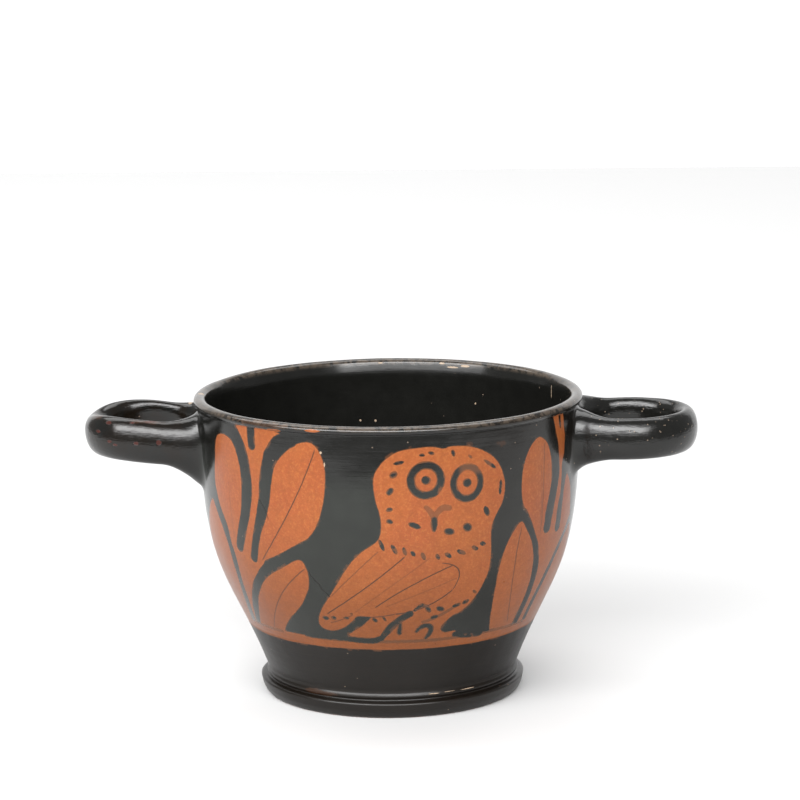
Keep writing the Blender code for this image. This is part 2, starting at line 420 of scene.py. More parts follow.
def grown(thing, group, values):
    """The thing's mesh after a geometry tree with those inputs, as a plain mesh."""
    modifier = thing.modifiers.new(group.name, 'NODES')
    modifier.node_group = group
    for item in group.interface.items_tree:
        if item.in_out == 'INPUT' and item.name in values:
            modifier[item.identifier] = values[item.name]
    return plain(thing)


def plain(thing):
    """The thing's mesh with its modifiers applied and removed."""
    graph = bpy.context.evaluated_depsgraph_get()
    graph.update()
    mesh = bpy.data.meshes.new_from_object(thing.evaluated_get(graph), depsgraph=graph)
    thing.modifiers.clear()
    old = thing.data
    thing.data = mesh
    bpy.data.meshes.remove(old)
    return mesh


# The bowl's section, as (radius, height)

WALL_STEPS = 600
CORNER_STEPS = 12
LIP_STEPS = 18
LIP_START, LIP_STOP = math.radians(180), math.radians(-60)


def bezier(start, pull, back, end, share):
    rest = 1.0 - share
    pulled = pull * (3 * rest * rest * share) + back * (3 * rest * share * share)
    return start * rest ** 3 + pulled + end * share ** 3


def wall_curve(size):
    base = Vector((size.wall_base_radius, size.foot_height + size.groove_width + size.ridge_width))
    top = Vector((size.wall_top_radius, size.height - size.lip_depth))
    lean = Vector((math.sin(size.wall_base_lean), math.cos(size.wall_base_lean)))
    return base, base + lean * size.wall_base_pull, top - Vector((0, size.wall_top_pull)), top


def wall_points(size, steps=WALL_STEPS):
    """Close points up the outer wall, each with its outward normal."""
    curve = wall_curve(size)
    points = [bezier(*curve, i / steps) for i in range(steps + 1)]
    normals = []
    for i in range(steps + 1):
        along = (points[min(i + 1, steps)] - points[max(i - 1, 0)]).normalized()
        normals.append(Vector((along.y, -along.x)))
    return points, normals


def spaced(points, step):
    """The same line with its points about one step apart."""
    points = np.array(points)
    run = np.concatenate([[0], np.cumsum(np.linalg.norm(np.diff(points, axis=0), axis=1))])
    stops = np.linspace(0, run[-1], max(2, round(run[-1] / step) + 1))
    return [Vector((np.interp(s, run, points[:, 0]), np.interp(s, run, points[:, 1]))) for s in stops]


def rounded(points, radius):
    """The line with each inner corner turned into a small curve."""
    line = [points[0]]
    for before, corner, after in zip(points, points[1:], points[2:]):
        back, on = before - corner, after - corner
        reach = min(radius, back.length * 0.45, on.length * 0.45)
        start, end = corner + back.normalized() * reach, corner + on.normalized() * reach
        line += [start.lerp(corner, i / 2).lerp(corner.lerp(end, i / 2), i / 2) for i in range(3)]
    return line + [points[-1]]


def lip_line(size):
    centre = Vector((
        size.wall_top_radius + size.lip_overhang - size.lip_thickness / 2, size.height - size.lip_depth / 2))
    bead = Vector((size.lip_thickness / 2, size.lip_depth / 2))
    turns = [LIP_START + (LIP_STOP - LIP_START) * i / LIP_STEPS for i in range(LIP_STEPS + 1)]
    return [centre + Vector((math.cos(turn) * bead.x, math.sin(turn) * bead.y)) for turn in turns]


def inside_line(size):
    """From the middle of the floor up to the lip."""
    floor = size.recess_depth + size.floor
    points, normals = wall_points(size, 60)
    wall = [point - normal * size.wall for point, normal in zip(points, normals)]
    wall = [point for point in wall if point.y > floor + size.corner_height]
    down = (wall[0] - wall[1]).normalized()
    edge = Vector((wall[0].x - size.corner_height - size.floor_pull, floor))
    pulls = edge + Vector((size.floor_pull, 0)), wall[0] + down * size.corner_pull
    corner = [bezier(edge, *pulls, wall[0], i / CORNER_STEPS) for i in range(CORNER_STEPS)]
    return [Vector((0, floor))] + corner + wall


def foot_line(size):
    """Ridge, groove, foot and underside, from the wall in to the axis."""
    groove_top = size.foot_height + size.groove_width
    ridge = size.wall_base_radius + size.ridge_overhang

    def face(height):
        return size.foot_radius - size.foot_bulge * ((height - size.foot_widest) / size.foot_widest) ** 2

    top = size.foot_height - size.foot_bevel
    rest_outer = face(0) - size.foot_edge
    rest_inner = rest_outer - size.foot_ring
    corners = [
        (ridge - size.ridge_overhang / 3, groove_top + size.ridge_width * 0.6),
        (ridge, groove_top + size.ridge_width * 0.2),
        (size.groove_radius, groove_top),
        (size.groove_radius, size.foot_height),
        (face(size.foot_height) - size.foot_bevel, size.foot_height),
        (face(top), top),
        (face(size.foot_widest), size.foot_widest),
        (face(size.foot_widest / 2), size.foot_widest / 2),
        (face(size.foot_edge), size.foot_edge),
        (rest_outer, 0),
        (rest_inner, 0),
        (rest_inner - size.recess_corner / 3, size.recess_depth * 0.6),
        (rest_inner - size.recess_corner, size.recess_depth),
        (0, size.recess_depth),
    ]
    return [Vector(corner) for corner in corners]


def bowl_sections(size):
    """The section in three runs: inside with lip, painted wall, and lower wall with foot."""
    inside = inside_line(size)
    lip = lip_line(size)
    wall, _ = wall_points(size)
    upper = [point for point in reversed(wall) if point.y > size.picture_low]
    lower = [point for point in reversed(wall) if point.y <= size.picture_low]
    floor = spaced(inside[:CORNER_STEPS + 2], 2.5 * MM)
    rise = spaced(inside[CORNER_STEPS + 1:] + [lip[0]], 1.8 * MM)
    foot = rounded([lower[-1]] + foot_line(size), 0.3 * MM)
    face = [point for point in foot if point.x > size.wall_base_radius * 0.8]
    under = spaced([face[-1], foot[-1]], 2.5 * MM)
    return [
        floor[:-1] + rise[:-1] + lip,
        spaced([lip[-1].lerp(upper[0], 0.5)] + upper, 0.5 * MM),
        spaced(lower, 1.0 * MM)[:-1] + spaced(face, 0.45 * MM) + under[1:],
    ]


def azimuth(vertex):
    """Angle round the axis, from -Y towards +X."""
    return math.atan2(vertex.co.x, -vertex.co.y)


def zip_rings(form, one, other):
    """Joins two level rings of vertices that need not have the same count."""
    rings = [sorted(ring, key=azimuth) for ring in (one, other)]
    counts = [len(ring) for ring in rings]
    done = [0, 0]

    def reached(which, steps):
        turns, rest = divmod(steps, counts[which])
        return azimuth(rings[which][rest]) + turns * 2 * math.pi

    while done[0] < counts[0] or done[1] < counts[1]:
        which = 0 if reached(0, done[0] + 1) < reached(1, done[1] + 1) else 1
        if done[which] == counts[which]:
            which = 1 - which
        corners = [rings[0][done[0] % counts[0]], rings[1][done[1] % counts[1]]]
        corners.append(rings[which][(done[which] + 1) % counts[which]])
        form.faces.new(corners)
        done[which] += 1


def rim_rings(form):
    """The open rings of a form, from the highest down."""
    loose = {vertex for edge in form.edges if edge.is_boundary for vertex in edge.verts}
    rings = []
    while loose:
        ring, queue = [], [loose.pop()]
        while queue:
            vertex = queue.pop()
            ring.append(vertex)
            for edge in vertex.link_edges:
                other = edge.other_vert(vertex)
                if edge.is_boundary and other in loose:
                    loose.remove(other)
                    queue.append(other)
        rings.append(ring)
    return sorted(rings, key=lambda ring: -sum(vertex.co.z for vertex in ring) / len(ring))


def outward(mesh):
    """Turns a closed mesh's faces to point out, all of them smooth and in its one finish."""
    form = bmesh.new()
    form.from_mesh(mesh)
    bmesh.ops.recalc_face_normals(form, faces=form.faces)
    if form.calc_volume(signed=True) < 0:
        bmesh.ops.reverse_faces(form, faces=form.faces)
    for face in form.faces:
        face.smooth = True
        face.material_index = 0
    open_edges = sum(1 for edge in form.edges if not edge.is_manifold)
    form.to_mesh(mesh)
    form.free()
    if open_edges:
        raise RuntimeError(f"{mesh.name} has {open_edges} open edges")


def throw_bowl(size, finish):
    """The thrown bowl with its foot, closed."""
    group = wheel_tree()
    form = bmesh.new()
    for i, section in enumerate(bowl_sections(size)):
        painted = i == 1
        line = add_mesh(f"section_{i}", [(point.x, 0, point.y) for point in section],
                        [(k, k + 1) for k in range(len(section) - 1)])
        form.from_mesh(grown(line, group, {
            "Columns": size.picture_columns if painted else size.plain_columns,
            "Gather": size.gather if painted else 0.0, "Side": size.owl_side, "Finish": finish}))
        bpy.data.objects.remove(line)
    rings = rim_rings(form)
    if len(rings) != 4:
        raise RuntimeError(f"the bowl has {len(rings)} open rings, not 4")
    zip_rings(form, rings[0], rings[1])
    zip_rings(form, rings[2], rings[3])
    bowl = add_mesh(BOWL, [])
    form.to_mesh(bowl.data)
    form.free()
    bowl.data.materials.append(finish)
    outward(bowl.data)
    return bowl


def wall_radius(size, heights):
    points, _ = wall_points(size)
    return np.interp(heights, [point.y for point in points], [point.x for point in points])


def roll_handle(name, side, size, bowl, finish):
    """One closed handle on the +X side (side 1) or the -X side (side -1), its roots sunk in the wall."""
    thing = add_mesh(name, [(0, 0, 0)])
    grown(thing, bpy.data.node_groups.get("rolled_handle") or handle_tree(), {
        **handle_sizes(size, bowl, side), "Stations": size.stations, "Sides": size.sides, "Finish": finish})
    form = bmesh.new()
    form.from_mesh(thing.data)
    for ring in rim_rings(form):
        edges = {edge for vertex in ring for edge in vertex.link_edges if edge.is_boundary}
        sunk = bmesh.ops.extrude_edge_only(form, edges=list(edges))["geom"]
        for vertex in [part for part in sunk if isinstance(part, bmesh.types.BMVert)]:
            flat = vertex.co.xy.normalized() * (float(wall_radius(bowl, vertex.co.z)) - bowl.wall / 2)
            vertex.co.x, vertex.co.y = flat
        rim = [part for part in sunk if isinstance(part, bmesh.types.BMEdge)]
        bmesh.ops.contextual_create(form, geom=rim)
    bmesh.ops.triangulate(form, faces=[face for face in form.faces if len(face.verts) > 4])
    bmesh.ops.scale(form, vec=(side, 1, 1), verts=form.verts)
    form.to_mesh(thing.data)
    form.free()
    outward(thing.data)
    return thing


def joined(bowl, handles):
    """The bowl and its handles as one closed skin."""
    for loop in handles:
        union = bowl.modifiers.new(loop.name, 'BOOLEAN')
        union.operation = 'UNION'
        union.solver = 'EXACT'
        union.object = loop
    plain(bowl)
    for loop in handles:
        bpy.data.objects.remove(loop)
    return bowl


def handle_gap(size, bowl, side, points, stations=300):
    """Distance from points to a handle's skin, negative inside it."""
    sizes = handle_sizes(size, bowl, side)
    line = loop_form(sizes, np.linspace(-0.5, 0.5, stations), array_sum)
    place, way = np.stack(line[:2], 1), np.stack(line[2:4], 1)
    flat = points[:, :2] * (side, 1)
    near = np.argmin(((flat[:, None] - place[None]) ** 2).sum(2), axis=1)
    run = np.append(0, np.cumsum(np.linalg.norm(np.diff(place, axis=0), axis=1)))
    along = run[near] + ((flat - place[near]) * way[near]).sum(1)
    x, y, way_x, way_y, level, behind, half, above, below = (
        np.interp(along, run, values) for values in line)
    rise = points[:, 2] - level - sizes["Back lift"] * behind
    across = (flat[:, 0] - x) * way_y - (flat[:, 1] - y) * way_x + rise * sizes["Lean"] * behind
    tall = np.where(rise > 0, above, below)
    share = abs(across / half) ** size.fullness + abs(rise / tall) ** size.fullness
    share = share ** (1 / size.fullness)
    return (1 - 1 / np.maximum(share, 0.2)) * np.hypot(across, rise)


def wall_gap(bowl, points):
    """Distance from points to the bowl's outer wall, negative towards the axis."""
    line, normals = wall_points(bowl)
    heights = [point.y for point in line]
    radius = np.interp(points[:, 2], heights, [point.x for point in line])
    slope = np.interp(points[:, 2], heights, [normal.x for normal in normals])
    return (np.hypot(points[:, 0], points[:, 1]) - radius) * slope


def blended(one, other, reach):
    """A smooth least of two distances."""
    mix = np.maximum(reach - abs(one - other), 0) / reach
    return np.minimum(one, other) - mix * mix * reach / 4


SMOOTHING_ROUNDS = 6
PULLS_TO_SKIN = 3
PROBE = 0.02 * MM


def soften_joints(cup, size, bowl):
    """Works the clay of each handle's roots into the wall in one smooth hollow."""
    mesh = cup.data
    spots = read_vertices(mesh)
    edges = np.zeros(len(mesh.edges) * 2, dtype=int)
    mesh.edges.foreach_get("vertices", edges)
    edges = edges.reshape(-1, 2)
    top = bowl.height - bowl.lip_depth
    for side in (-1, 1):
        def gaps(points):
            return wall_gap(bowl, points), handle_gap(size, bowl, side, points)

        def skin(points):
            fade = np.clip((top + 0.4 * MM - points[:, 2]) / (3.0 * MM), 0.02, 1)
            return blended(*gaps(points), size.fillet * fade)

        near = np.nonzero((spots[:, 0] * side > 0.6 * bowl.wall_top_radius) & (spots[:, 2] < top)
                          & (spots[:, 2] > top - 0.4 * bowl.height))[0]
        wall, handle = gaps(spots[near])
        on_skin = np.minimum(abs(wall), abs(handle)) < 0.3 * MM
        outside = wall > -0.5 * MM
        chosen = near[on_skin & outside & (abs(wall - handle) < size.fillet)]
        inner = np.zeros(len(spots), bool)
        inner[chosen] = True
        links = edges[inner[edges].any(axis=1)]
        for _ in range(SMOOTHING_ROUNDS):
            total, seen = np.zeros_like(spots), np.zeros(len(spots))
            for a, b in ((0, 1), (1, 0)):
                np.add.at(total, links[:, a], spots[links[:, b]])
                np.add.at(seen, links[:, a], 1)
            mean = total[chosen] / seen[chosen][:, None]
            points = spots[chosen] * 0.5 + mean * 0.5
            for _ in range(PULLS_TO_SKIN):
                slope = np.stack([skin(points + step) - skin(points - step) for step in PROBE * np.eye(3)], 1)
                slope /= 2 * PROBE
                steepness = np.maximum((slope ** 2).sum(1), 0.2)
                points -= (skin(points) / steepness)[:, None] * slope
            spots[chosen] = points
    write_vertices(mesh, spots)


def eased(value, low, high):
    share = np.clip((value - low) / (high - low), 0, 1)
    return share * share * (3 - 2 * share)


def wear(cup, size):
    """Gives the turned form the slight unevenness of hand work; the resting ring stays flat."""
    mesh = cup.data
    spots, normals = read_vertices(mesh), read_vertices(mesh, "normal")
    rough = [noise.noise(Vector(spot) * 45) + 0.3 * noise.noise(Vector(spot) * 230) for spot in spots]
    free = eased(spots[:, 2], 1.0 * MM, 4.0 * MM)
    spots += normals * (np.array(rough) * size.unevenness * free)[:, None]
    radius = np.maximum(np.hypot(spots[:, 0], spots[:, 1]), 0.001)
    high = eased(spots[:, 2], 0.7 * size.height, size.height)
    left = np.clip(-spots[:, 0] / radius, 0, 1) ** 2
    spots[:, :2] *= (1 + left * high * size.out_of_round / radius)[:, None]
    spots[:, 2] += size.back_lift * high * eased(spots[:, 1], 0.2 * size.height, 0.6 * size.height)
    write_vertices(mesh, spots)


# Painting. The picture is drawn as (azimuth in degrees, height in millimetres); a stroke or a gap also
# has its half widths in millimetres, and a point given twice makes a corner.

OWL_PARTS = [
    # body, thigh, feet
    [(20.3, 74.6), (26, 74), (30.4, 72.6), (34, 70.4), (36.3, 67.6), (37.5, 64.3), (37.6, 61), (36.6, 58),
     (34.9, 55.6), (33.7, 53.2), (33.5, 50.2), (33.9, 47), (34, 43.3), (33.5, 40), (32.2, 36.7),
     (30.3, 33.6), (27.8, 31.2), (24, 29.3), (15, 29.2), (6, 30), (-2, 29.9), (-5.8, 29.7), (-9.2, 29.7),
     (-11.2, 28.3), (-14.2, 26.5), (-18.4, 25.1), (-21.6, 25.1), (-23.6, 26.2), (-23.2, 28.4), (-20.8, 31.8),
     (-18, 34.7), (-15.2, 38), (-12.2, 41.8), (-9.6, 44.8), (-6.6, 47.5), (-2, 50.3), (-0.7, 52.2),
     (-0.4, 55), (-0.8, 58.2), (-1.8, 61.6), (-2.4, 65.2), (-1.7, 68.4), (0.4, 71.2), (3.2, 73.1),
     (7.4, 74.3), (13.9, 74.7), (17.9, 74.1)],
    [(-13.2, 23.9), (-11.2, 25.2), (-8, 26.8), (-5.6, 28.6), (-3, 30.2), (3, 30.8), (7, 30.4), (3.5, 27.6),
     (0.5, 25.4), (-2.5, 23.8), (-6, 23.2), (-10, 23.2)],
    [(-0.6, 22), (1.6, 24.6), (5, 27.4), (8.6, 30.6), (17, 31), (24, 30), (22.4, 28.4), (20.4, 26.8),
     (19.7, 25.3), (21.4, 24.1), (25.6, 24.2), (25.4, 23.2), (24.4, 22), (12, 21.5)]]

LEFT_SPRAY = [
    [(-55.8, 74.4), (-52.2, 74), (-49.2, 72), (-47.4, 68), (-46.4, 62), (-47, 56), (-49, 50), (-52, 44),
     (-55.2, 44), (-56.6, 50), (-59.7, 54), (-61.9, 58.4), (-62.4, 61.6), (-61, 67), (-59.2, 72.8)],
    [(-21, 75.5), (-24.8, 74.9), (-28.6, 72.8), (-32.1, 69.5), (-34.2, 65.4), (-36, 60), (-38.2, 54.2),
     (-41.2, 48.2), (-44.6, 41.4), (-41.5, 42.2), (-38.4, 43.6), (-32.2, 46), (-25.6, 48.9), (-21.6, 51.9),
     (-18.9, 55.9), (-17.6, 59.7), (-16.7, 65), (-16.8, 70), (-18.6, 73.8)],
    [(-26.8, 44.4), (-33.5, 41.5), (-40, 38.3), (-45.1, 34.9), (-49.3, 31), (-53.4, 26), (-56.2, 21.5),
     (-50, 21), (-43.4, 21.3), (-40.6, 23.6), (-36.4, 26.8), (-32.2, 29.3), (-28.2, 32.5), (-25.1, 36.4),
     (-24, 40), (-24.6, 42.6)],
    [(-66.3, 55.6), (-63, 53), (-59.5, 49), (-57.6, 43), (-57.8, 36), (-60, 29), (-64, 21), (-72, 20.6),
     (-77.5, 22), (-80, 28), (-80, 36), (-77.4, 44), (-72, 51)],
    [(-55.4, 48), (-50, 47), (-44, 47), (-40, 43.2), (-44.4, 39.3), (-49.6, 34.2), (-54.6, 28), (-59.2, 21.5),
     (-62.4, 21), (-60.4, 24), (-57.6, 30), (-55.3, 36), (-54.8, 42)],
    [(-48.2, 77.6), (-46, 75.2), (-43.8, 71), (-42.5, 66), (-42.2, 61), (-43.6, 55.5), (-46.3, 50),
     (-49, 45.6), (-51, 41), (-45, 39), (-44.4, 44), (-43.3, 49.6), (-41.2, 55), (-39.6, 60), (-38.8, 65),
     (-37.4, 70), (-36, 73), (-30.6, 77.3), (-30.6, 77.3), (-39, 78.1), (-48.2, 77.6)]]
LEFT_GAPS = [
    ([(-51.6, 77.4), (-47.8, 74.4), (-45.4, 70), (-44.6, 65), (-44.8, 60), (-46, 55), (-48.4, 50),
      (-51.1, 45.2)],
     [1.6, 1.8, 1.85, 2.0, 1.95, 1.85, 1.7, 1.6]),
    ([(-27.2, 75.9), (-31.4, 74.5), (-34.8, 70), (-36.3, 65), (-37.4, 60), (-39, 55), (-41.6, 50),
      (-44.6, 43)],
     [2.1, 2.2, 2.2, 1.9, 1.85, 1.65, 1.35, 1.25]),
    ([(-41.6, 79.5), (-41.6, 76), (-41.4, 73.2)], [1.4, 1.35, 1.3]),
    ([(-67, 59.5), (-63.4, 55), (-60, 50.8), (-57.3, 45.5), (-56.4, 40), (-56.8, 34.5), (-58.6, 29),
      (-62.6, 21.8)],
     [1.9, 1.35, 1.2, 1.2, 1.15, 1.15, 1.2, 1.3]),
    ([(-23, 49.2), (-30, 45.9), (-36, 43), (-42, 39.2), (-47, 35), (-51.6, 30.2), (-55.6, 25.4),
      (-58.4, 21.9)],
     [1.1, 1.1, 1.25, 1.35, 1.4, 1.35, 1.25, 1.1])]

RIGHT_SPRAY = [
    [(51.8, 73.6), (48.9, 72.5), (46.8, 70.3), (45, 66.8), (44.2, 62.5), (44.8, 58.2), (46.8, 54.4),
     (49.4, 51), (51.4, 47.4), (54, 42), (57, 44), (56, 52), (57.2, 56.4), (58.2, 60.4), (58.3, 64.4),
     (57.5, 68.2), (55.4, 71.8)],
    [(45, 52.4), (42, 50.1), (39.5, 46.5), (38.1, 42), (37.7, 37), (38.3, 31), (39.6, 26), (42.6, 20.5),
     (48, 20.2), (53.4, 20.6), (53.9, 26), (54, 31), (53.6, 37), (52.4, 42), (50.3, 46.2), (47.4, 49.8)],
    [(69, 61.2), (67.4, 58), (66.6, 52), (66.4, 44), (72, 42), (76, 45), (75, 51), (72.4, 57.6)],
    [(76.4, 47), (72, 44), (67.6, 40), (64.4, 35), (62.6, 28), (62.4, 21), (72, 20.4), (80, 21.5), (83, 28),
     (83, 36), (80.4, 43)],
    [(51, 50), (54.6, 44), (56.6, 38), (57.2, 30), (56, 20.8), (61.4, 20.8), (61, 28), (62.8, 34),
     (65.4, 38.8), (69.4, 43.5), (73.6, 47), (66, 50), (58, 50)],
    [(58.8, 78.2), (60.4, 74), (62.1, 70), (63, 65), (62.8, 60), (61.2, 54.6), (60, 50), (58, 44), (64, 44),
     (63, 51), (64, 56), (65, 60.4), (64.8, 65), (66.8, 69.6), (65.6, 74), (64.8, 78), (64.8, 78),
     (58.8, 78.2)]]
RIGHT_GAPS = [
    ([(56.2, 79), (58.4, 74.6), (60, 70), (60.8, 65), (60.6, 60), (59.1, 55), (57.8, 49)],
     [1.5, 1.5, 1.6, 1.85, 1.9, 1.7, 1.75]),
    ([(68.6, 80), (68, 70), (66.6, 63), (65.8, 58), (65, 53), (64.7, 48)], [2.0, 1.6, 1.3, 1.15, 1.4, 1.5]),
    ([(62.4, 79), (62.7, 76.6), (63.2, 74.4)], [0.6, 0.55, 0.35]),
    ([(45.8, 55), (47.4, 53), (50.2, 49.2), (52.8, 45), (54.6, 40), (55.4, 35), (55.5, 30), (55.3, 25),
      (54.7, 21.9)],
     [0.8, 0.9, 0.75, 0.9, 1.1, 1.25, 1.35, 1.35, 1.2]),
    ([(76, 48), (71.4, 44.6), (67.4, 40.6), (64.2, 36), (62.4, 31.5), (61.4, 27), (61.4, 22)],
     [1.2, 1.1, 1.05, 1.05, 1.05, 1.05, 1.0])]

OWL_GAPS = [
    ([(8.4, 30.4), (5.4, 29), (2.4, 27), (0, 24.8), (-1.6, 22.9)], [1.0, 1.0, 0.9, 0.8, 0.7])]
GROUND_BAND = (19.8, 22.4)
# Depths in the paint are kept up to this many millimetres
FAR = 2.0
LEAST_MILLIMETRES_PER_DEGREE = 0.6

EYES = [((12.7, 66.2), (4.95, 4.95), (2.75, 2.8), 1.25), ((25.1, 64.8), (4.65, 5.1), (2.75, 3.1), 1.25)]
DOTS = [
    # middle, half length, half width, angle from level
    ((4.9, 70.9), 1.5, 0.5, 8), ((3.4, 67.9), 1.15, 0.85, 35), ((2.3, 63.6), 1.2, 0.8, 50),
    ((2.1, 58.9), 0.95, 0.6, 10), ((2.1, 55.8), 0.95, 0.65, -20), ((11.6, 72.7), 0.8, 0.45, -5),
    ((14.3, 73.1), 0.9, 0.5, -15), ((20.8, 72.7), 1.0, 0.55, -75), ((26, 71.5), 0.9, 0.45, -40),
    ((32.4, 69), 2.4, 0.5, -35), ((36.2, 62.6), 2.2, 0.5, 85), ((31.6, 56.8), 1.5, 0.8, -65),
    ((9.3, 54.6), 1.75, 0.75, -22), ((19.7, 52.5), 1.5, 0.95, -12), ((25.4, 53.2), 1.4, 1.15, -30)]
NECK = [
    ((-0.4, 49.6), 1.7, 0.5, -68), ((3.3, 48.5), 1.5, 0.55, -62), ((6.4, 47.9), 1.2, 0.5, -75),
    ((8.9, 47.2), 0.9, 0.5, -55), ((12, 46.4), 1.1, 0.55, -65), ((16.4, 46), 0.9, 0.55, -60),
    ((19.6, 46.2), 1.1, 0.55, -35), ((23.8, 46.7), 1.4, 0.55, -25), ((28.2, 47.4), 1.1, 0.55, -28),
    ((30.8, 48.3), 0.9, 0.55, -15)]
BELLY = [
    ((14.4, 31.4), 1.2, 0.65, -50), ((18.6, 31.3), 1.3, 0.75, -25), ((24.1, 31.9), 1.3, 0.6, 15),
    ((27.3, 32.6), 1.1, 0.65, 20), ((29.9, 35.2), 0.85, 0.4, -40), ((16.8, 29), 1.2, 0.65, 15),
    ((-3.4, 28.7), 0.9, 0.6, -40), ((-0.2, 29.1), 0.9, 0.4, -60), ((-20.7, 28.6), 1.0, 0.65, 0),
    ((-17.7, 28.8), 0.8, 0.65, 0), ((-13.2, 29), 0.85, 0.5, 0), ((-11.2, 30.3), 0.5, 0.3, 0)]

BLACK_STROKES = [
    # beak, band under the left foot, band under the right foot, claws
    ([(15.1, 56.0), (15.1, 54.8), (15.1, 53.2)], [0.8, 0.95, 0.6]),
    ([(-31, 22.8), (-22, 22.7), (-13.5, 22.7), (-9, 22.5), (-4.5, 22.4), (-1.5, 22.9)],
     [0.8, 0.85, 0.9, 0.95, 0.95, 0.8]),
    ([(25.8, 23.2), (30, 23), (36.4, 22.9)], [0.9, 1.35, 1.45]),
    ([(5.3, 27.8), (5, 26), (4.9, 24.8)], [0.5, 0.75, 0.75]),
    ([(11, 25), (12.4, 26.2), (14.4, 26.7), (16.1, 25.9), (15.8, 24.2), (14.6, 22.8)],
     [0.5, 0.75, 0.75, 0.8, 0.75, 0.6])]
THIN_STROKES = [
    # the beak's two arms, a feather over the thigh
    ([(12.6, 59.2), (13.8, 58.2), (15.1, 56.2)], [0.6, 0.75, 0.75]),
    ([(19.6, 58.7), (17.6, 58.8), (16, 57.6), (15.1, 56.2)], [0.75, 0.85, 0.8, 0.75]),
    ([(10, 31.4), (12.2, 32.8), (14.4, 32)], [0.4, 0.5, 0.4])]


def bowed(points, closed, steps=6):
    """A smooth line through the points."""
    points = np.array(points, float)
    count = len(points)
    share = np.arange(steps)[:, None] / steps
    line = []
    for i in range(count if closed else count - 1):
        before, here, on, after = (
            points[k % count] if closed else points[min(max(k, 0), count - 1)] for k in range(i - 1, i + 3))
        if (here == on).all():
            continue
        pull = (on - before) * (0.0 if (here == before).all() else 0.5)
        back = (after - here) * (0.0 if (after == on).all() else 0.5)
        rest = 1 - share
        line.append(here * (1 + 2 * share) * rest ** 2 + on * (3 - 2 * share) * share ** 2
                    + pull * share * rest ** 2 - back * rest * share ** 2)
    if not closed:
        line.append(points[-1:])
    return np.concatenate(line)


class Canvas:
    """The painted wall laid out flat: for each spot its azimuth, height and millimetres per degree."""

    def __init__(self, turn, height, radius):
        self.turn, self.height = turn, height
        self.scale = radius * math.pi / 180

    def near(self, low, high, room):
        """Which spots lie in a box, with some room round it."""
        side = room / LEAST_MILLIMETRES_PER_DEGREE
        return np.nonzero((self.turn > low[0] - side) & (self.turn < high[0] + side)
                          & (self.height > low[1] - room) & (self.height < high[1] + room))[0]

    def blank(self):
        """Far outside everything."""
        return np.full(len(self.turn), -FAR)

    def pieces(self, line, spots):
        """The straight pieces of a line, each with the share along it and the distance from the spots."""
        scale = self.scale[spots]
        for start, end in zip(line, line[1:]):
            along, rise = (end[0] - start[0]) * scale, end[1] - start[1]
            over, up = (self.turn[spots] - start[0]) * scale, self.height[spots] - start[1]
            share = np.clip((over * along + up * rise) / (along ** 2 + rise ** 2 + 1e-9), 0, 1)
            yield start, end, share, np.hypot(over - share * along, up - share * rise)

    def area(self, points):
        """Depth inside a smooth closed outline, negative outside it."""
        line = bowed(points, True)
        depth = self.blank()
        spots = self.near(line.min(0), line.max(0), FAR)
        x, y = self.turn[spots], self.height[spots]
        inside = np.zeros(len(spots), bool)
        least = np.full(len(spots), np.inf)
        for (ax, ay), (bx, by), _, away in self.pieces(np.append(line, line[:1], axis=0), spots):
            least = np.minimum(least, away)
            if ay != by:
                inside ^= ((ay > y) != (by > y)) & (x < (bx - ax) * (y - ay) / (by - ay) + ax)
        depth[spots] = np.clip(np.where(inside, least, -least), -FAR, FAR)
        return depth

    def stroke(self, points, widths):
        """Depth inside a brush stroke through the points, given its half widths in millimetres."""
        line = bowed([(x, y, width) for (x, y), width in zip(points, widths)], False, 4)
        depth = self.blank()
        spots = self.near(line[:, :2].min(0), line[:, :2].max(0), FAR + max(widths))
        for start, end, share, away in self.pieces(line, spots):
            width = start[2] + (end[2] - start[2]) * share
            depth[spots] = np.maximum(depth[spots], width - away)
        return np.clip(depth, -FAR, FAR)

    def oval(self, middle, long, short, slant=0.0):
        """Depth inside an oval whose long half leans from level by a slant in degrees."""
        over = (self.turn - middle[0]) * self.scale
        up = self.height - middle[1]
        lean = math.radians(slant)
        along = over * math.cos(lean) + up * math.sin(lean)
        across = up * math.cos(lean) - over * math.sin(lean)
        reach = np.hypot(along / long, across / short)
        size = np.hypot(along, across)
        depth = (1 / np.maximum(reach, 0.3) - 1) * size
        depth = np.where(reach < 0.3, min(long, short) * (1 - reach), depth)
        return np.clip(depth, -FAR, FAR)


def paint_side(canvas, plain):
    """Depth inside the reserved clay, the black strokes on it and the thinned strokes on it.

    A plain side has no dabs on the owl's neck and belly.
    """
    clay, black, thin = canvas.blank(), canvas.blank(), canvas.blank()

    def keep(depth):
        np.maximum(clay, depth, out=clay)

    def cover(depth):
        np.minimum(clay, -depth, out=clay)

    for leaves, gaps in ((LEFT_SPRAY, LEFT_GAPS), (RIGHT_SPRAY, RIGHT_GAPS), (OWL_PARTS, OWL_GAPS)):
        for outline in leaves:
            keep(canvas.area(outline))
        for gap in gaps:
            cover(canvas.stroke(*gap))
    keep(np.minimum(canvas.height - GROUND_BAND[0], GROUND_BAND[1] - canvas.height))
    for middle, outer, inner, pupil in EYES:
        ring = np.minimum(canvas.oval(middle, *outer), -canvas.oval(middle, *inner))
        black = np.maximum(black, np.maximum(ring, canvas.oval(middle, pupil, pupil * 0.95)))
    for dot in DOTS if plain else DOTS + BELLY:
        black = np.maximum(black, canvas.oval(*dot))
    for stroke in BLACK_STROKES:
        black = np.maximum(black, canvas.stroke(*stroke))
    for dot in () if plain else NECK:
        thin = np.maximum(thin, canvas.oval(*dot))
    for stroke in THIN_STROKES:
        thin = np.maximum(thin, canvas.stroke(*stroke))
    return clay, black, thin


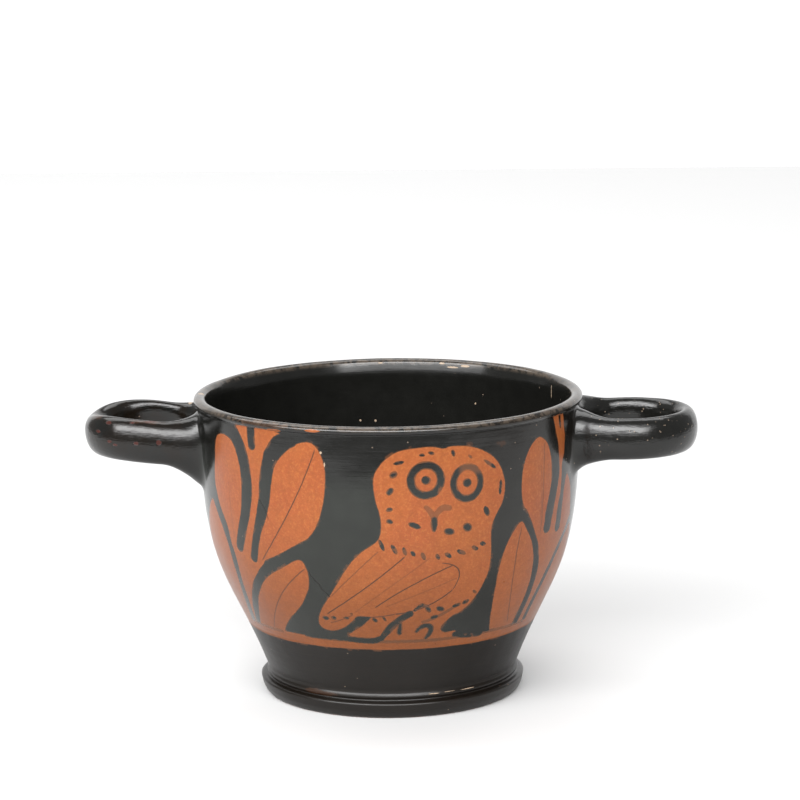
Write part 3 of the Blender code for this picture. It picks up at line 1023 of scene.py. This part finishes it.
def paint_cup(cup, bowl, handles):
    """Stores the picture on the cup as depths in millimetres inside each kind of paint.

    The attribute picture holds the depths inside the reserved clay, the black strokes and the
    thinned strokes. The attribute parts holds how far a spot belongs to the inside of the bowl,
    to a handle and to the hollow under the foot.
    """
    mesh = cup.data
    spots = read_vertices(mesh)
    radius = np.hypot(spots[:, 0], spots[:, 1])
    off_wall = wall_gap(bowl, spots)
    off_handle = np.minimum(handle_gap(handles, bowl, 1, spots), handle_gap(handles, bowl, -1, spots))
    over_floor = spots[:, 2] > bowl.recess_depth + MM
    inside = np.clip(0.5 - (off_wall + bowl.wall / 2) / (0.5 * MM), 0, 1) * over_floor
    on_handle = np.clip((off_wall - off_handle) / (2 * MM) + 0.5, 0, 1) * (inside < 0.5)
    under = np.clip((bowl.foot_radius - bowl.foot_ring * 1.2 - radius) / (0.5 * MM), 0, 1) * ~over_floor

    picture = np.full((len(spots), 3), -FAR)
    wall = np.nonzero((inside < 0.5) & (spots[:, 2] > bowl.picture_low) & (off_wall > -0.5 * MM))[0]
    turn = np.degrees(np.arctan2(spots[wall, 0], -spots[wall, 1]))
    for start in (0.0, 180.0):
        here = (turn - start + 180) % 360 - 180
        front = abs(here) < 90
        canvas = Canvas(here[front], spots[wall[front], 2] / MM, radius[wall[front]] / MM)
        for i, depth in enumerate(paint_side(canvas, plain=start > 90)):
            picture[wall[front], i] = depth
    root = (off_handle[wall] - 1.2 * MM) / MM
    picture[wall, 0] = np.minimum(picture[wall, 0], np.clip(root, -FAR, FAR))
    for name, values in (("picture", picture), ("parts", np.stack([inside, on_handle, under], 1))):
        layer = mesh.attributes.new(name, 'FLOAT_VECTOR', 'POINT')
        layer.data.foreach_set("vector", np.ascontiguousarray(values, dtype=np.float32).ravel())


# Finish

INCISED = (
    # start, end, bend to the left in millimetres, strength
    ((-19.4, 74.1), (-41.1, 42.7), 1.8, 0.9), ((-24.8, 42.3), (-47, 22.8), -1.1, 0.8),
    ((54.3, 72), (54.3, 47.7), 0.0, 0.6), ((52.9, 66), (53.6, 52), 0.3, 0.3),
    ((45.3, 51.1), (49.6, 23.7), -2.5, 0.8), ((-53.3, 62.2), (-53.3, 47.1), 0.0, 0.25),
    ((-1.3, 48), (-17.3, 35), 0.0, 0.55), ((6.7, 46.6), (-20.1, 29.7), 0.7, 1.0),
    ((14.2, 45.9), (-10.1, 30.7), 0.0, 0.35), ((21.7, 43.5), (-3.2, 32.2), -0.8, 1.0),
    ((23.1, 39.8), (0.4, 32.6), 0.0, 0.35), ((17.7, 44.2), (22, 36.5), 3.3, 1.4),
    ((22, 36.5), (3.4, 30.4), 1.35, 1.2), ((3.4, 30.4), (-9, 29.4), 0.3, 0.8),
    ((-19.3, 27.3), (-10.7, 30), -0.2, 0.7))
CRACK = (((-39.4, 59.6), (-36.1, 54.4), 0.2, 0.8), ((-36.1, 54.4), (-30, 48), 0.3, 0.1),
         ((-24, 41.8), (-17.4, 34.9), -0.3, 1.0))
BRUSHED = (((-64, 22.4), (-42, 22.3), 0.0, 0.6), ((-4, 22.2), (20, 22.1), 0.0, 0.8),
           ((17, 22.1), (44, 22.5), 0.0, 0.7), ((42, 22.4), (62, 22.3), 0.0, 0.6),
           ((24, 31.9), (12.4, 27.6), 0.5, 0.7))
MILLIMETRES_PER_DEGREE = 0.85

# Worn spots: middle and half sizes in millimetres
RUBBED = (
    ((-27.4, -43.0, 78.0), (2.4, 2.2, 0.42)), ((-17.4, -48.0, 78.8), (2.2, 2.0, 0.38)))
BROWNED = (
    ((-30.0, -41.0, 79.2), (11.0, 9.0, 0.7)), ((-18.5, -28.2, 5.6), (6.0, 4.0, 0.7)),
    ((30.5, -41.0, 74.0), (1.6, 1.6, 0.8)), ((22.0, -46.0, 74.5), (1.0, 1.0, 0.9)),
    ((-62.0, -15.6, 75.2), (7.0, 1.2, 0.6)), ((-76.5, -4.0, 75.5), (3.0, 8.0, 1.2)))
CHIPPED = (
    ((-53.6, 10.6, 75.0), (0.9, 1.6, 0.7)), ((-49.3, -1.7, 80.0), (1.1, 1.2, 0.5)),
    ((13.0, 46.5, 79.3), (1.0, 1.2, 0.28)), ((16.2, 45.2, 78.4), (1.6, 1.3, 0.26)),
    ((19.6, 43.9, 78.9), (1.2, 1.2, 0.28)), ((-4.2, 48.0, 79.3), (0.6, 1.0, 0.2)),
    ((-10.0, 46.1, 63.3), (0.3, 0.5, 0.3)), ((-5.8, 46.8, 63.1), (0.28, 0.5, 0.28)),
    ((22.3, 41.7, 68.7), (0.26, 0.4, 0.26)), ((-45.3, 14.0, 75.2), (0.26, 0.4, 0.26)),
    ((-15.3, -48.0, 73.2), (0.32, 0.8, 0.36)), ((-14.4, -48.2, 70.2), (0.2, 0.8, 0.6)),
    ((12.0, -31.4, 6.0), (1.3, 1.6, 0.10)), ((15.8, -29.8, 6.1), (1.5, 1.6, 0.06)),
    ((20.6, -26.6, 6.0), (2.2, 2.4, 0.09)), ((43.2, 19.7, 75.8), (0.10, 0.3, 2.4)))
PITTED = (
    ((-61.0, -15.6, 75.1), (3.0, 0.9, 0.2)), ((-66.6, -16.0, 74.9), (1.0, 0.8, 0.25)),
    ((-72.7, -14.5, 69.7), (0.8, 1.0, 0.45)), ((-71.2, -15.3, 69.0), (0.7, 1.0, 0.35)),
    ((-65.3, -17.2, 69.7), (0.75, 1.0, 0.5)), ((-59.5, -17.3, 69.9), (0.65, 1.0, 0.6)),
    ((-75.9, -11.9, 71.9), (0.8, 1.0, 0.4)), ((-73.0, -13.3, 74.5), (0.9, 1.0, 0.4)),
    ((-78.4, -6.0, 68.0), (0.6, 0.9, 0.6)))


class Shade(Tree):
    """A shader tree."""

    def smooth(self, value, low, high):
        """0 below low, 1 above high, and smooth between."""
        node = self.node("ShaderNodeMapRange", {"interpolation_type": 'SMOOTHSTEP'}, {
            "Value": value, "From Min": low, "From Max": high})
        return self.number(node.outputs["Result"])

    def noise(self, place, scale, detail=2.0, roughness=0.5):
        node = self.node("ShaderNodeTexNoise", None, {
            "Vector": place, "Scale": scale, "Detail": detail, "Roughness": roughness})
        return self.number(node.outputs["Fac"])

    def mix(self, factor, one, other):
        """One colour where the factor is 0, the other where it is 1."""
        node = self.node("ShaderNodeMix", {"data_type": 'RGBA'}, {"Factor": factor})
        self.feed(node.inputs[6], one)
        self.feed(node.inputs[7], other)
        return node.outputs[2]

    def scaled(self, vector, scale):
        """A vector or a colour times a number or a triple."""
        operation, socket = ('MULTIPLY', 1) if isinstance(scale, tuple) else ('SCALE', "Scale")
        node = self.node("ShaderNodeVectorMath", {"operation": operation}, {0: vector, socket: scale})
        return node.outputs[0]

    def attribute(self, name):
        node = self.node("ShaderNodeAttribute", {"attribute_name": name})
        return self.split(node.outputs["Vector"])

    def greatest(self, *values):
        return functools.reduce(lambda one, other: self.math('MAXIMUM', one, other), values)

    def least(self, *values):
        return functools.reduce(lambda one, other: self.math('MINIMUM', one, other), values)

    def line(self, turn, height, start, end, bend, strength, width):
        """A thin line on the wall from start to end, bowed sideways, with ends that fade."""
        run = Vector(((end[0] - start[0]) * MILLIMETRES_PER_DEGREE, end[1] - start[1]))
        way = run.normalized()
        over = (turn - start[0]) * MILLIMETRES_PER_DEGREE
        up = height - start[1]
        share = (over * way.x + up * way.y) / run.length
        bow = share * (1 - share) * (4 * bend)
        away = abs(up * way.x - over * way.y - bow)
        ends = self.smooth(self.least(share, 1 - share), -0.01, 0.03)
        return (1 - self.smooth(away, width * 0.5, width * 1.5)) * ends * strength

    def spots(self, place, table, ragged):
        """1 on the ovals of a table, with ragged edges."""
        reaches = []
        for middle, half in table:
            away = self.node("ShaderNodeVectorMath", {"operation": 'SUBTRACT'}, {0: place, 1: middle})
            away = self.scaled(away.outputs[0], tuple(1 / size for size in half))
            node = self.node("ShaderNodeVectorMath", {"operation": 'LENGTH'}, {0: away})
            reaches.append(self.number(node.outputs["Value"]))
        return self.smooth(1.0 - self.least(*reaches) + ragged, -0.1, 0.1)

    def specks(self, place, scale, size, share):
        """Small round specks, on the given share of the cells."""
        node = self.node("ShaderNodeTexVoronoi", None, {"Vector": place, "Scale": scale})
        chance = self.split(node.outputs["Color"])[0]
        return self.smooth(size - self.number(node.outputs["Distance"]), 0.0, size * 0.4) * (
            self.smooth(chance + share, 0.99, 1.0))


def opaque(shade):
    return (*shade, 1.0)


def cup_finish(finish):
    """Reserved clay and black gloss, with the gloss thin and brown where the brush left little."""
    material = bpy.data.materials.new("attic_gloss")
    material.use_nodes = True
    tree = Shade(material.node_tree)
    clay_shader = material.node_tree.nodes["Principled BSDF"]
    gloss_shader = tree.node("ShaderNodeBsdfPrincipled", None, {"IOR": finish.gloss_ior})
    matt_shader = tree.node("ShaderNodeBsdfPrincipled", None, {"IOR": finish.matt_ior})
    tree.feed(clay_shader.inputs["IOR"], finish.clay_ior)
    place = tree.scaled(tree.node("ShaderNodeTexCoord").outputs["Object"], 1000.0)
    x, y, z = tree.split(place)
    turn = tree.math('DEGREES', tree.math('ARCTAN2', x, -y))
    clay, black, thin = tree.attribute("picture")
    inside, handle, under = tree.attribute("parts")
    outside = 1 - inside
    front = tree.smooth(-y, 0.0, 1.0)
    mottle = tree.noise(place, 0.5, 3.0, 0.6)
    grain = tree.noise(place, 3.5, 2.0, 0.6)
    broad = tree.noise(place, 0.06, 3.0, 0.55)
    patchy = tree.noise(place, 0.22, 3.0, 0.6)

    # How much gloss lies on each spot: 0 bare, 1 thick
    shiver = (tree.noise(place, 1.3, 2.0) - 0.5) * 0.22
    wander = (tree.noise(place, 0.16, 1.0) - 0.5) * 0.5
    off = shiver + wander - clay
    gloss = tree.smooth(off, -0.1, 0.08) * 0.55 + tree.smooth(off, 0.0, 0.35) * 0.45
    gloss = gloss - tree.smooth(0.95 - off, 0.0, 0.5) * tree.smooth(off, 0.0, 0.3) * (
        tree.smooth(patchy, 0.5, 0.62) * 0.3)
    disc = tree.math('SQRT', x * x + y * y)
    circle = tree.least(abs(disc - 12.0) - 0.6, disc - 1.4)
    bare = under * tree.smooth(circle + shiver * 2, -0.1, 0.15) * tree.smooth(28.0 - disc, 0.0, 0.4)
    rested = tree.smooth(0.35 - z, 0.0, 0.25) * tree.smooth(mottle, 0.35, 0.55)
    gloss = gloss * (1 - tree.greatest(bare, rested))
    beak = tree.smooth(z, 55.6, 56.6) * tree.smooth(60.5 - z, 0.0, 1.0)
    wash = tree.smooth(thin + shiver, -0.2, 0.15) * (
        (0.52 + 0.42 * tree.smooth(mottle, 0.42, 0.58)) * (1 - beak) + 0.36 * beak)
    brushed = [tree.line(turn, z + shiver, *line, 0.5) for line in BRUSHED]
    wash = tree.greatest(wash, tree.greatest(*brushed) * front * 0.6)
    black = black + shiver * 0.8
    stroke = tree.smooth(black, -0.15, 0.12) * 0.5 + tree.smooth(black + (mottle - 0.5), 0.05, 0.5) * 0.5
    faded = tree.smooth(z, 65.5, 68.0) * tree.smooth(turn, 21.0, 24.0) * tree.smooth(34.0 - turn, 0.0, 2.0)
    faded = faded * front
    stroke = stroke * (1 - 0.42 * tree.greatest(faded, tree.smooth(patchy, 0.60, 0.70)))
    gloss = tree.greatest(gloss, stroke, wash)
    ragged = (mottle - 0.5) * 1.6 + (grain - 0.5) * 0.8
    rubbed = tree.spots(place, RUBBED, ragged * 0.6)
    browned = tree.spots(place, BROWNED, ragged * 1.2)
    gloss = gloss * (1 - rubbed * 0.9) * (1 - 0.2 * browned)

    # Lines and cracks
    drift = (tree.noise(place, 0.5, 2.0) - 0.5) * 0.7
    lines = [tree.line(turn + drift * 0.5, z, *line, 0.16) for line in INCISED]
    lines = tree.greatest(*lines) * front * outside * (0.75 + 0.5 * mottle)
    cracks = [tree.line(turn + drift * 1.6, z + drift, *line, 0.15) for line in CRACK]
    cracks = tree.greatest(*cracks) * front * outside

    # Colours
    speckle = tree.noise(place, 1.5, 2.0, 0.6)
    redder = tree.smooth(broad + speckle * 0.9, 0.75, 1.15)
    red = tree.mix(redder, opaque(finish.clay), opaque(finish.clay_red))
    red = tree.mix(tree.smooth(speckle, 0.48, 0.66) * 0.45, red, opaque(finish.clay_pale))
    # Painted shade, partly the clay's own fire colour: the clay darkens towards the bottom of the wall
    red = tree.mix(tree.smooth(z, 60.0, 18.0), red, opaque(finish.clay_low_and_shade))
    # Painted light: the clay is made lighter towards the lower right, making up for the sheen that the matt
    # shader takes away there
    shaded = tree.smooth(x, 8.0, 30.0) * tree.smooth(z, 52.0, 28.0) * outside * (1 - handle)
    texture = 0.35 + 0.36 * mottle + 0.50 * grain + 0.38 * speckle
    red = tree.scaled(red, texture * (1 + 0.28 * shaded))
    low = tree.smooth(z + broad * 8, 26.0, 16.0)
    left = tree.smooth(-x, 46.0, 56.0) * tree.smooth(patchy, 0.35, 0.6)
    high = tree.greatest(tree.smooth(z + broad * 8, 66.0, 76.0), handle, inside)
    dark = tree.mix(high, opaque(finish.gloss), opaque(finish.gloss_high))
    matt = tree.smooth(20.6 - z, 0.0, 0.6) * outside
    # Brown gloss on the low band, the matt band and the left handle is the gloss's own colour; the darker
    # gloss towards the right of the wall is painted shade
    brown_and_shade = tree.greatest(low, matt, left, tree.smooth(x, 10.0, 36.0) * outside * (1 - handle) * 0.6)
    dark = tree.mix(brown_and_shade, dark, opaque(finish.gloss_low_and_shade))
    dark = tree.scaled(dark, 0.6 + 0.8 * patchy)
    shade = tree.mix(tree.smooth(gloss, 0.05, 0.55), red, opaque(finish.thin_gloss))
    shade = tree.mix(tree.smooth(gloss, 0.45, 0.95), shade, dark)
    shade = tree.mix(lines * (1 - tree.smooth(gloss, 0.3, 0.7)), shade, opaque(finish.incised))
    shade = tree.mix(cracks * 0.9, shade, opaque(finish.crack))

    # Specks, chips and pits
    right = tree.smooth(x, 15.0, 45.0) * tree.smooth(z, 50.0, 62.0) * outside
    specks = tree.specks(place, 0.9, 0.19, 0.010 + 0.12 * right + 0.28 * handle * right)
    chips = tree.spots(place, CHIPPED, ragged * 0.7)
    pits = tree.spots(place, PITTED, ragged * 0.7)
    shade = tree.mix(specks * 0.7 * tree.smooth(gloss, 0.5, 0.8), shade, opaque(finish.fleck))
    # The lip is painted paler: partly wear along the rim, partly a painted highlight
    lip = tree.smooth(z, 78.4, 79.6) * tree.smooth(mottle, 0.35, 0.6)
    shade = tree.mix(lip * 0.24, shade, opaque(finish.fleck))
    shade = tree.mix(chips * 0.75, shade, opaque(finish.chip))
    shade = tree.mix(pits * 0.55, shade, opaque(finish.pit))

    # Sheen and relief
    covered = tree.smooth(gloss, 0.1, 0.7) * (1 - tree.greatest(specks, chips, pits * 0.5, cracks))
    dull = tree.smooth(z + broad * 6, 30.0, 17.0) * outside
    covered = covered * (1 - 0.5 * dull) * (1 - 0.6 * matt)
    rough = finish.clay_roughness + (finish.gloss_roughness - finish.clay_roughness) * covered
    rough = rough + (mottle - 0.5) * 0.10 + matt * 0.05 + cracks * 0.4
    drawn = tree.noise(tree.scaled(place, (0.2, 0.2, 1.0)), 2.0, 2.0, 0.65)
    rings = tree.noise(tree.scaled(place, (0.05, 0.05, 1.0)), 0.9, 3.0, 0.6)
    relief = rings * 0.025 * (1 - handle) + drawn * 0.045 * handle + patchy * (0.04 + 0.08 * handle)
    relief = relief + grain * (0.006 + 0.010 * handle * right) - lines * 0.03
    relief = relief - pits * 0.05 - chips * 0.03
    bump = tree.node("ShaderNodeBump", None, {"Height": relief, "Distance": MM, "Strength": 1.0})
    for shader in (clay_shader, gloss_shader, matt_shader):
        tree.feed(shader.inputs["Base Color"], shade)
        tree.feed(shader.inputs["Roughness"], rough)
        tree.feed(shader.inputs["Normal"], bump.outputs["Normal"])
    both = tree.node("ShaderNodeMixShader", None, {
        0: covered, 1: clay_shader.outputs["BSDF"], 2: gloss_shader.outputs["BSDF"]})
    above_foot = tree.smooth(z, 5.0, 7.5)
    aside = tree.greatest(above_foot, tree.smooth(-x, 0.0, 10.0) * 0.6)
    aside = tree.smooth(abs(x + 4), 8.0, 34.0) * matt * aside
    shaded = shaded * above_foot * (0.35 + 0.2 * tree.smooth(gloss, 0.5, 0.9))
    sooty = tree.greatest(aside * 0.85, shaded)
    whole = tree.node("ShaderNodeMixShader", None, {
        0: sooty, 1: both.outputs["Shader"], 2: matt_shader.outputs["BSDF"]})
    tree.feed(material.node_tree.nodes["Material Output"].inputs["Surface"], whole.outputs["Shader"])
    return material


# Stage

FLOOR_CORNERS = [(-0.34, -0.32, 0), (0.34, -0.32, 0), (1.1, 1.25, 0), (-1.1, 1.25, 0)]
BACKDROP_CORNERS = [(-1.2, 1.25, 0), (1.2, 1.25, 0), (1.2, 1.25, 0.9), (-1.2, 1.25, 0.9)]
# name, place, target and size of each light. The stage's setting of that name is its brightness
SOFTBOXES = (
    ("key", (-0.30, -1.22, 0.85), (0, 0, 0.07), (3.4, 1.15)),
    ("key_heart", (-0.30, -1.20, 0.83), (0, 0, 0.07), (2.8, 0.5)),
    ("overhead", (-0.35, 0.6, 1.4), (-0.35, 0.6, 0), (2.4, 1.0)))
FOCAL_PIXELS = 3149.0


def plain_finish(name, shade, roughness, glow=0.0):
    """One colour all over. A glow of 1 is as bright as white paper in full light."""
    material = bpy.data.materials.new(name)
    material.use_nodes = True
    tree, shader = Tree(material.node_tree), material.node_tree.nodes["Principled BSDF"]
    tree.feed(shader.inputs["Base Color"], opaque(shade))
    tree.feed(shader.inputs["Roughness"], roughness)
    tree.feed(shader.inputs["Emission Color"], opaque((1, 1, 1)))
    tree.feed(shader.inputs["Emission Strength"], glow)
    return material


def add_sheet(name, corners, finish):
    sheet = add_mesh(name, corners, (), [(0, 1, 2, 3)])
    sheet.data.materials.append(finish)
    return sheet


def softbox(name, place, target, size, brightness):
    """A rectangular light whose face has that brightness, on the same scale as a glow."""
    data = bpy.data.lights.new(name, 'AREA')
    data.shape = 'RECTANGLE'
    data.size, data.size_y = size
    data.energy = brightness * math.pi * size[0] * size[1]
    lamp = bpy.data.objects.new(name, data)
    bpy.context.scene.collection.objects.link(lamp)
    lamp.location = place
    lamp.rotation_euler = (Vector(target) - Vector(place)).to_track_quat('-Z', 'Y').to_euler()
    return lamp


def set_camera():
    """The photograph's view: a long lens, a little above the cup, level but for a slight roll."""
    distance, height = 819.9 * MM, 229.7 * MM
    yaw, pitch, roll, turn = (math.radians(angle) for angle in (0.204, 10.512, -0.758, 2.4))
    ahead = Vector((math.sin(yaw) * math.cos(pitch), math.cos(yaw) * math.cos(pitch), -math.sin(pitch)))
    right = Vector((math.cos(yaw), -math.sin(yaw), 0))
    up = right.cross(ahead)
    level = right * math.cos(roll) + up * math.sin(roll)
    upright = up * math.cos(roll) - right * math.sin(roll)
    place = Matrix((level, upright, -ahead)).transposed().to_4x4()
    place.translation = (0, -distance, height)
    data = bpy.data.cameras.new("camera")
    data.sensor_width = 36.0
    data.lens = FOCAL_PIXELS * data.sensor_width / FRAME_PIXELS
    camera = bpy.data.objects.new("camera", data)
    bpy.context.scene.collection.objects.link(camera)
    camera.matrix_world = Matrix.Rotation(turn, 4, 'Z') @ place
    bpy.context.scene.camera = camera


# Operators

class SKYPHOS_OT_throw_bowl(bpy.types.Operator):
    """Throw the bowl and turn its foot"""
    bl_idname = "skyphos.throw_bowl"
    bl_label = "Throw bowl"

    def execute(self, context):
        throw_bowl(context.scene.skyphos_bowl, cup_finish(context.scene.skyphos_finish))
        return {'FINISHED'}


class SKYPHOS_OT_roll_handles(bpy.types.Operator):
    """Roll and bend the two handles"""
    bl_idname = "skyphos.roll_handles"
    bl_label = "Roll handles"

    def execute(self, context):
        finish = bpy.data.objects[BOWL].data.materials[0]
        for name, side in zip(HANDLES, (-1, 1)):
            roll_handle(name, side, context.scene.skyphos_handles, context.scene.skyphos_bowl, finish)
        return {'FINISHED'}


class SKYPHOS_OT_join(bpy.types.Operator):
    """Lute the handles to the bowl"""
    bl_idname = "skyphos.join"
    bl_label = "Join handles"

    def execute(self, context):
        cup = joined(bpy.data.objects[BOWL], [bpy.data.objects[name] for name in HANDLES])
        cup.name = cup.data.name = CUP
        outward(cup.data)
        soften_joints(cup, context.scene.skyphos_handles, context.scene.skyphos_bowl)
        context.view_layer.update()
        triangles = sum(len(face.vertices) - 2 for face in cup.data.polygons)
        if triangles > TRIANGLE_LIMIT:
            raise RuntimeError(f"the cup has {triangles} triangles")
        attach(cup, "root")
        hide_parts("skyphos")
        return {'FINISHED'}


class SKYPHOS_OT_paint(bpy.types.Operator):
    """Paint the owl and the olive sprays"""
    bl_idname = "skyphos.paint"
    bl_label = "Paint picture"

    def execute(self, context):
        cup = bpy.data.objects[CUP]
        paint_cup(cup, context.scene.skyphos_bowl, context.scene.skyphos_handles)
        wear(cup, context.scene.skyphos_bowl)
        return {'FINISHED'}


class SKYPHOS_OT_stage(bpy.types.Operator):
    """Set the floor, the lights and the camera"""
    bl_idname = "skyphos.stage"
    bl_label = "Set stage"

    def execute(self, context):
        stage = context.scene.skyphos_stage
        floor = add_sheet("floor", FLOOR_CORNERS, plain_finish("paper", stage.floor_colour, 0.9))
        world = bpy.data.worlds.new("studio")
        world.use_nodes = True
        world.node_tree.nodes["Background"].inputs["Color"].default_value = (1, 1, 1, 1)
        world.node_tree.nodes["Background"].inputs["Strength"].default_value = stage.sky
        context.scene.world = world
        for name, place, target, size in SOFTBOXES:
            softbox(name, place, target, size, getattr(stage, name))
        backing = plain_finish("lit_paper", (0, 0, 0), 1.0, stage.backdrop)
        backdrop = add_sheet("backdrop", BACKDROP_CORNERS, backing)
        context.scene.view_settings.view_transform = 'Standard'
        set_camera()
        return {'FINISHED'}


class SKYPHOS_PT_panel(bpy.types.Panel):
    bl_label = "Skyphos"
    bl_idname = "SKYPHOS_PT_panel"
    bl_space_type = 'VIEW_3D'
    bl_region_type = 'UI'
    bl_category = "Skyphos"

    def draw(self, context):
        for operator in OPERATORS:
            self.layout.operator(operator.bl_idname)
        for name in GROUPS:
            box = self.layout.box()
            settings = getattr(context.scene, name)
            for label in settings.__annotations__:
                box.prop(settings, label)


GROUPS = {
    "skyphos_bowl": SkyphosBowl,
    "skyphos_handles": SkyphosHandles,
    "skyphos_finish": SkyphosFinish,
    "skyphos_stage": SkyphosStage,
}
OPERATORS = (
    SKYPHOS_OT_throw_bowl, SKYPHOS_OT_roll_handles, SKYPHOS_OT_join, SKYPHOS_OT_paint, SKYPHOS_OT_stage)


def register():
    for name, group in GROUPS.items():
        bpy.utils.register_class(group)
        setattr(bpy.types.Scene, name, bpy.props.PointerProperty(type=group))
    for kind in OPERATORS + (SKYPHOS_PT_panel,):
        bpy.utils.register_class(kind)


def unregister():
    for kind in reversed(OPERATORS + (SKYPHOS_PT_panel,)):
        bpy.utils.unregister_class(kind)
    for name, group in reversed(GROUPS.items()):
        delattr(bpy.types.Scene, name)
        bpy.utils.unregister_class(group)


def main():
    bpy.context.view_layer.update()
    register()
    bpy.ops.skyphos.throw_bowl()
    bpy.ops.skyphos.roll_handles()
    bpy.ops.skyphos.join()
    bpy.ops.skyphos.paint()
    bpy.ops.skyphos.stage()


if __name__ == "__main__":
    main()
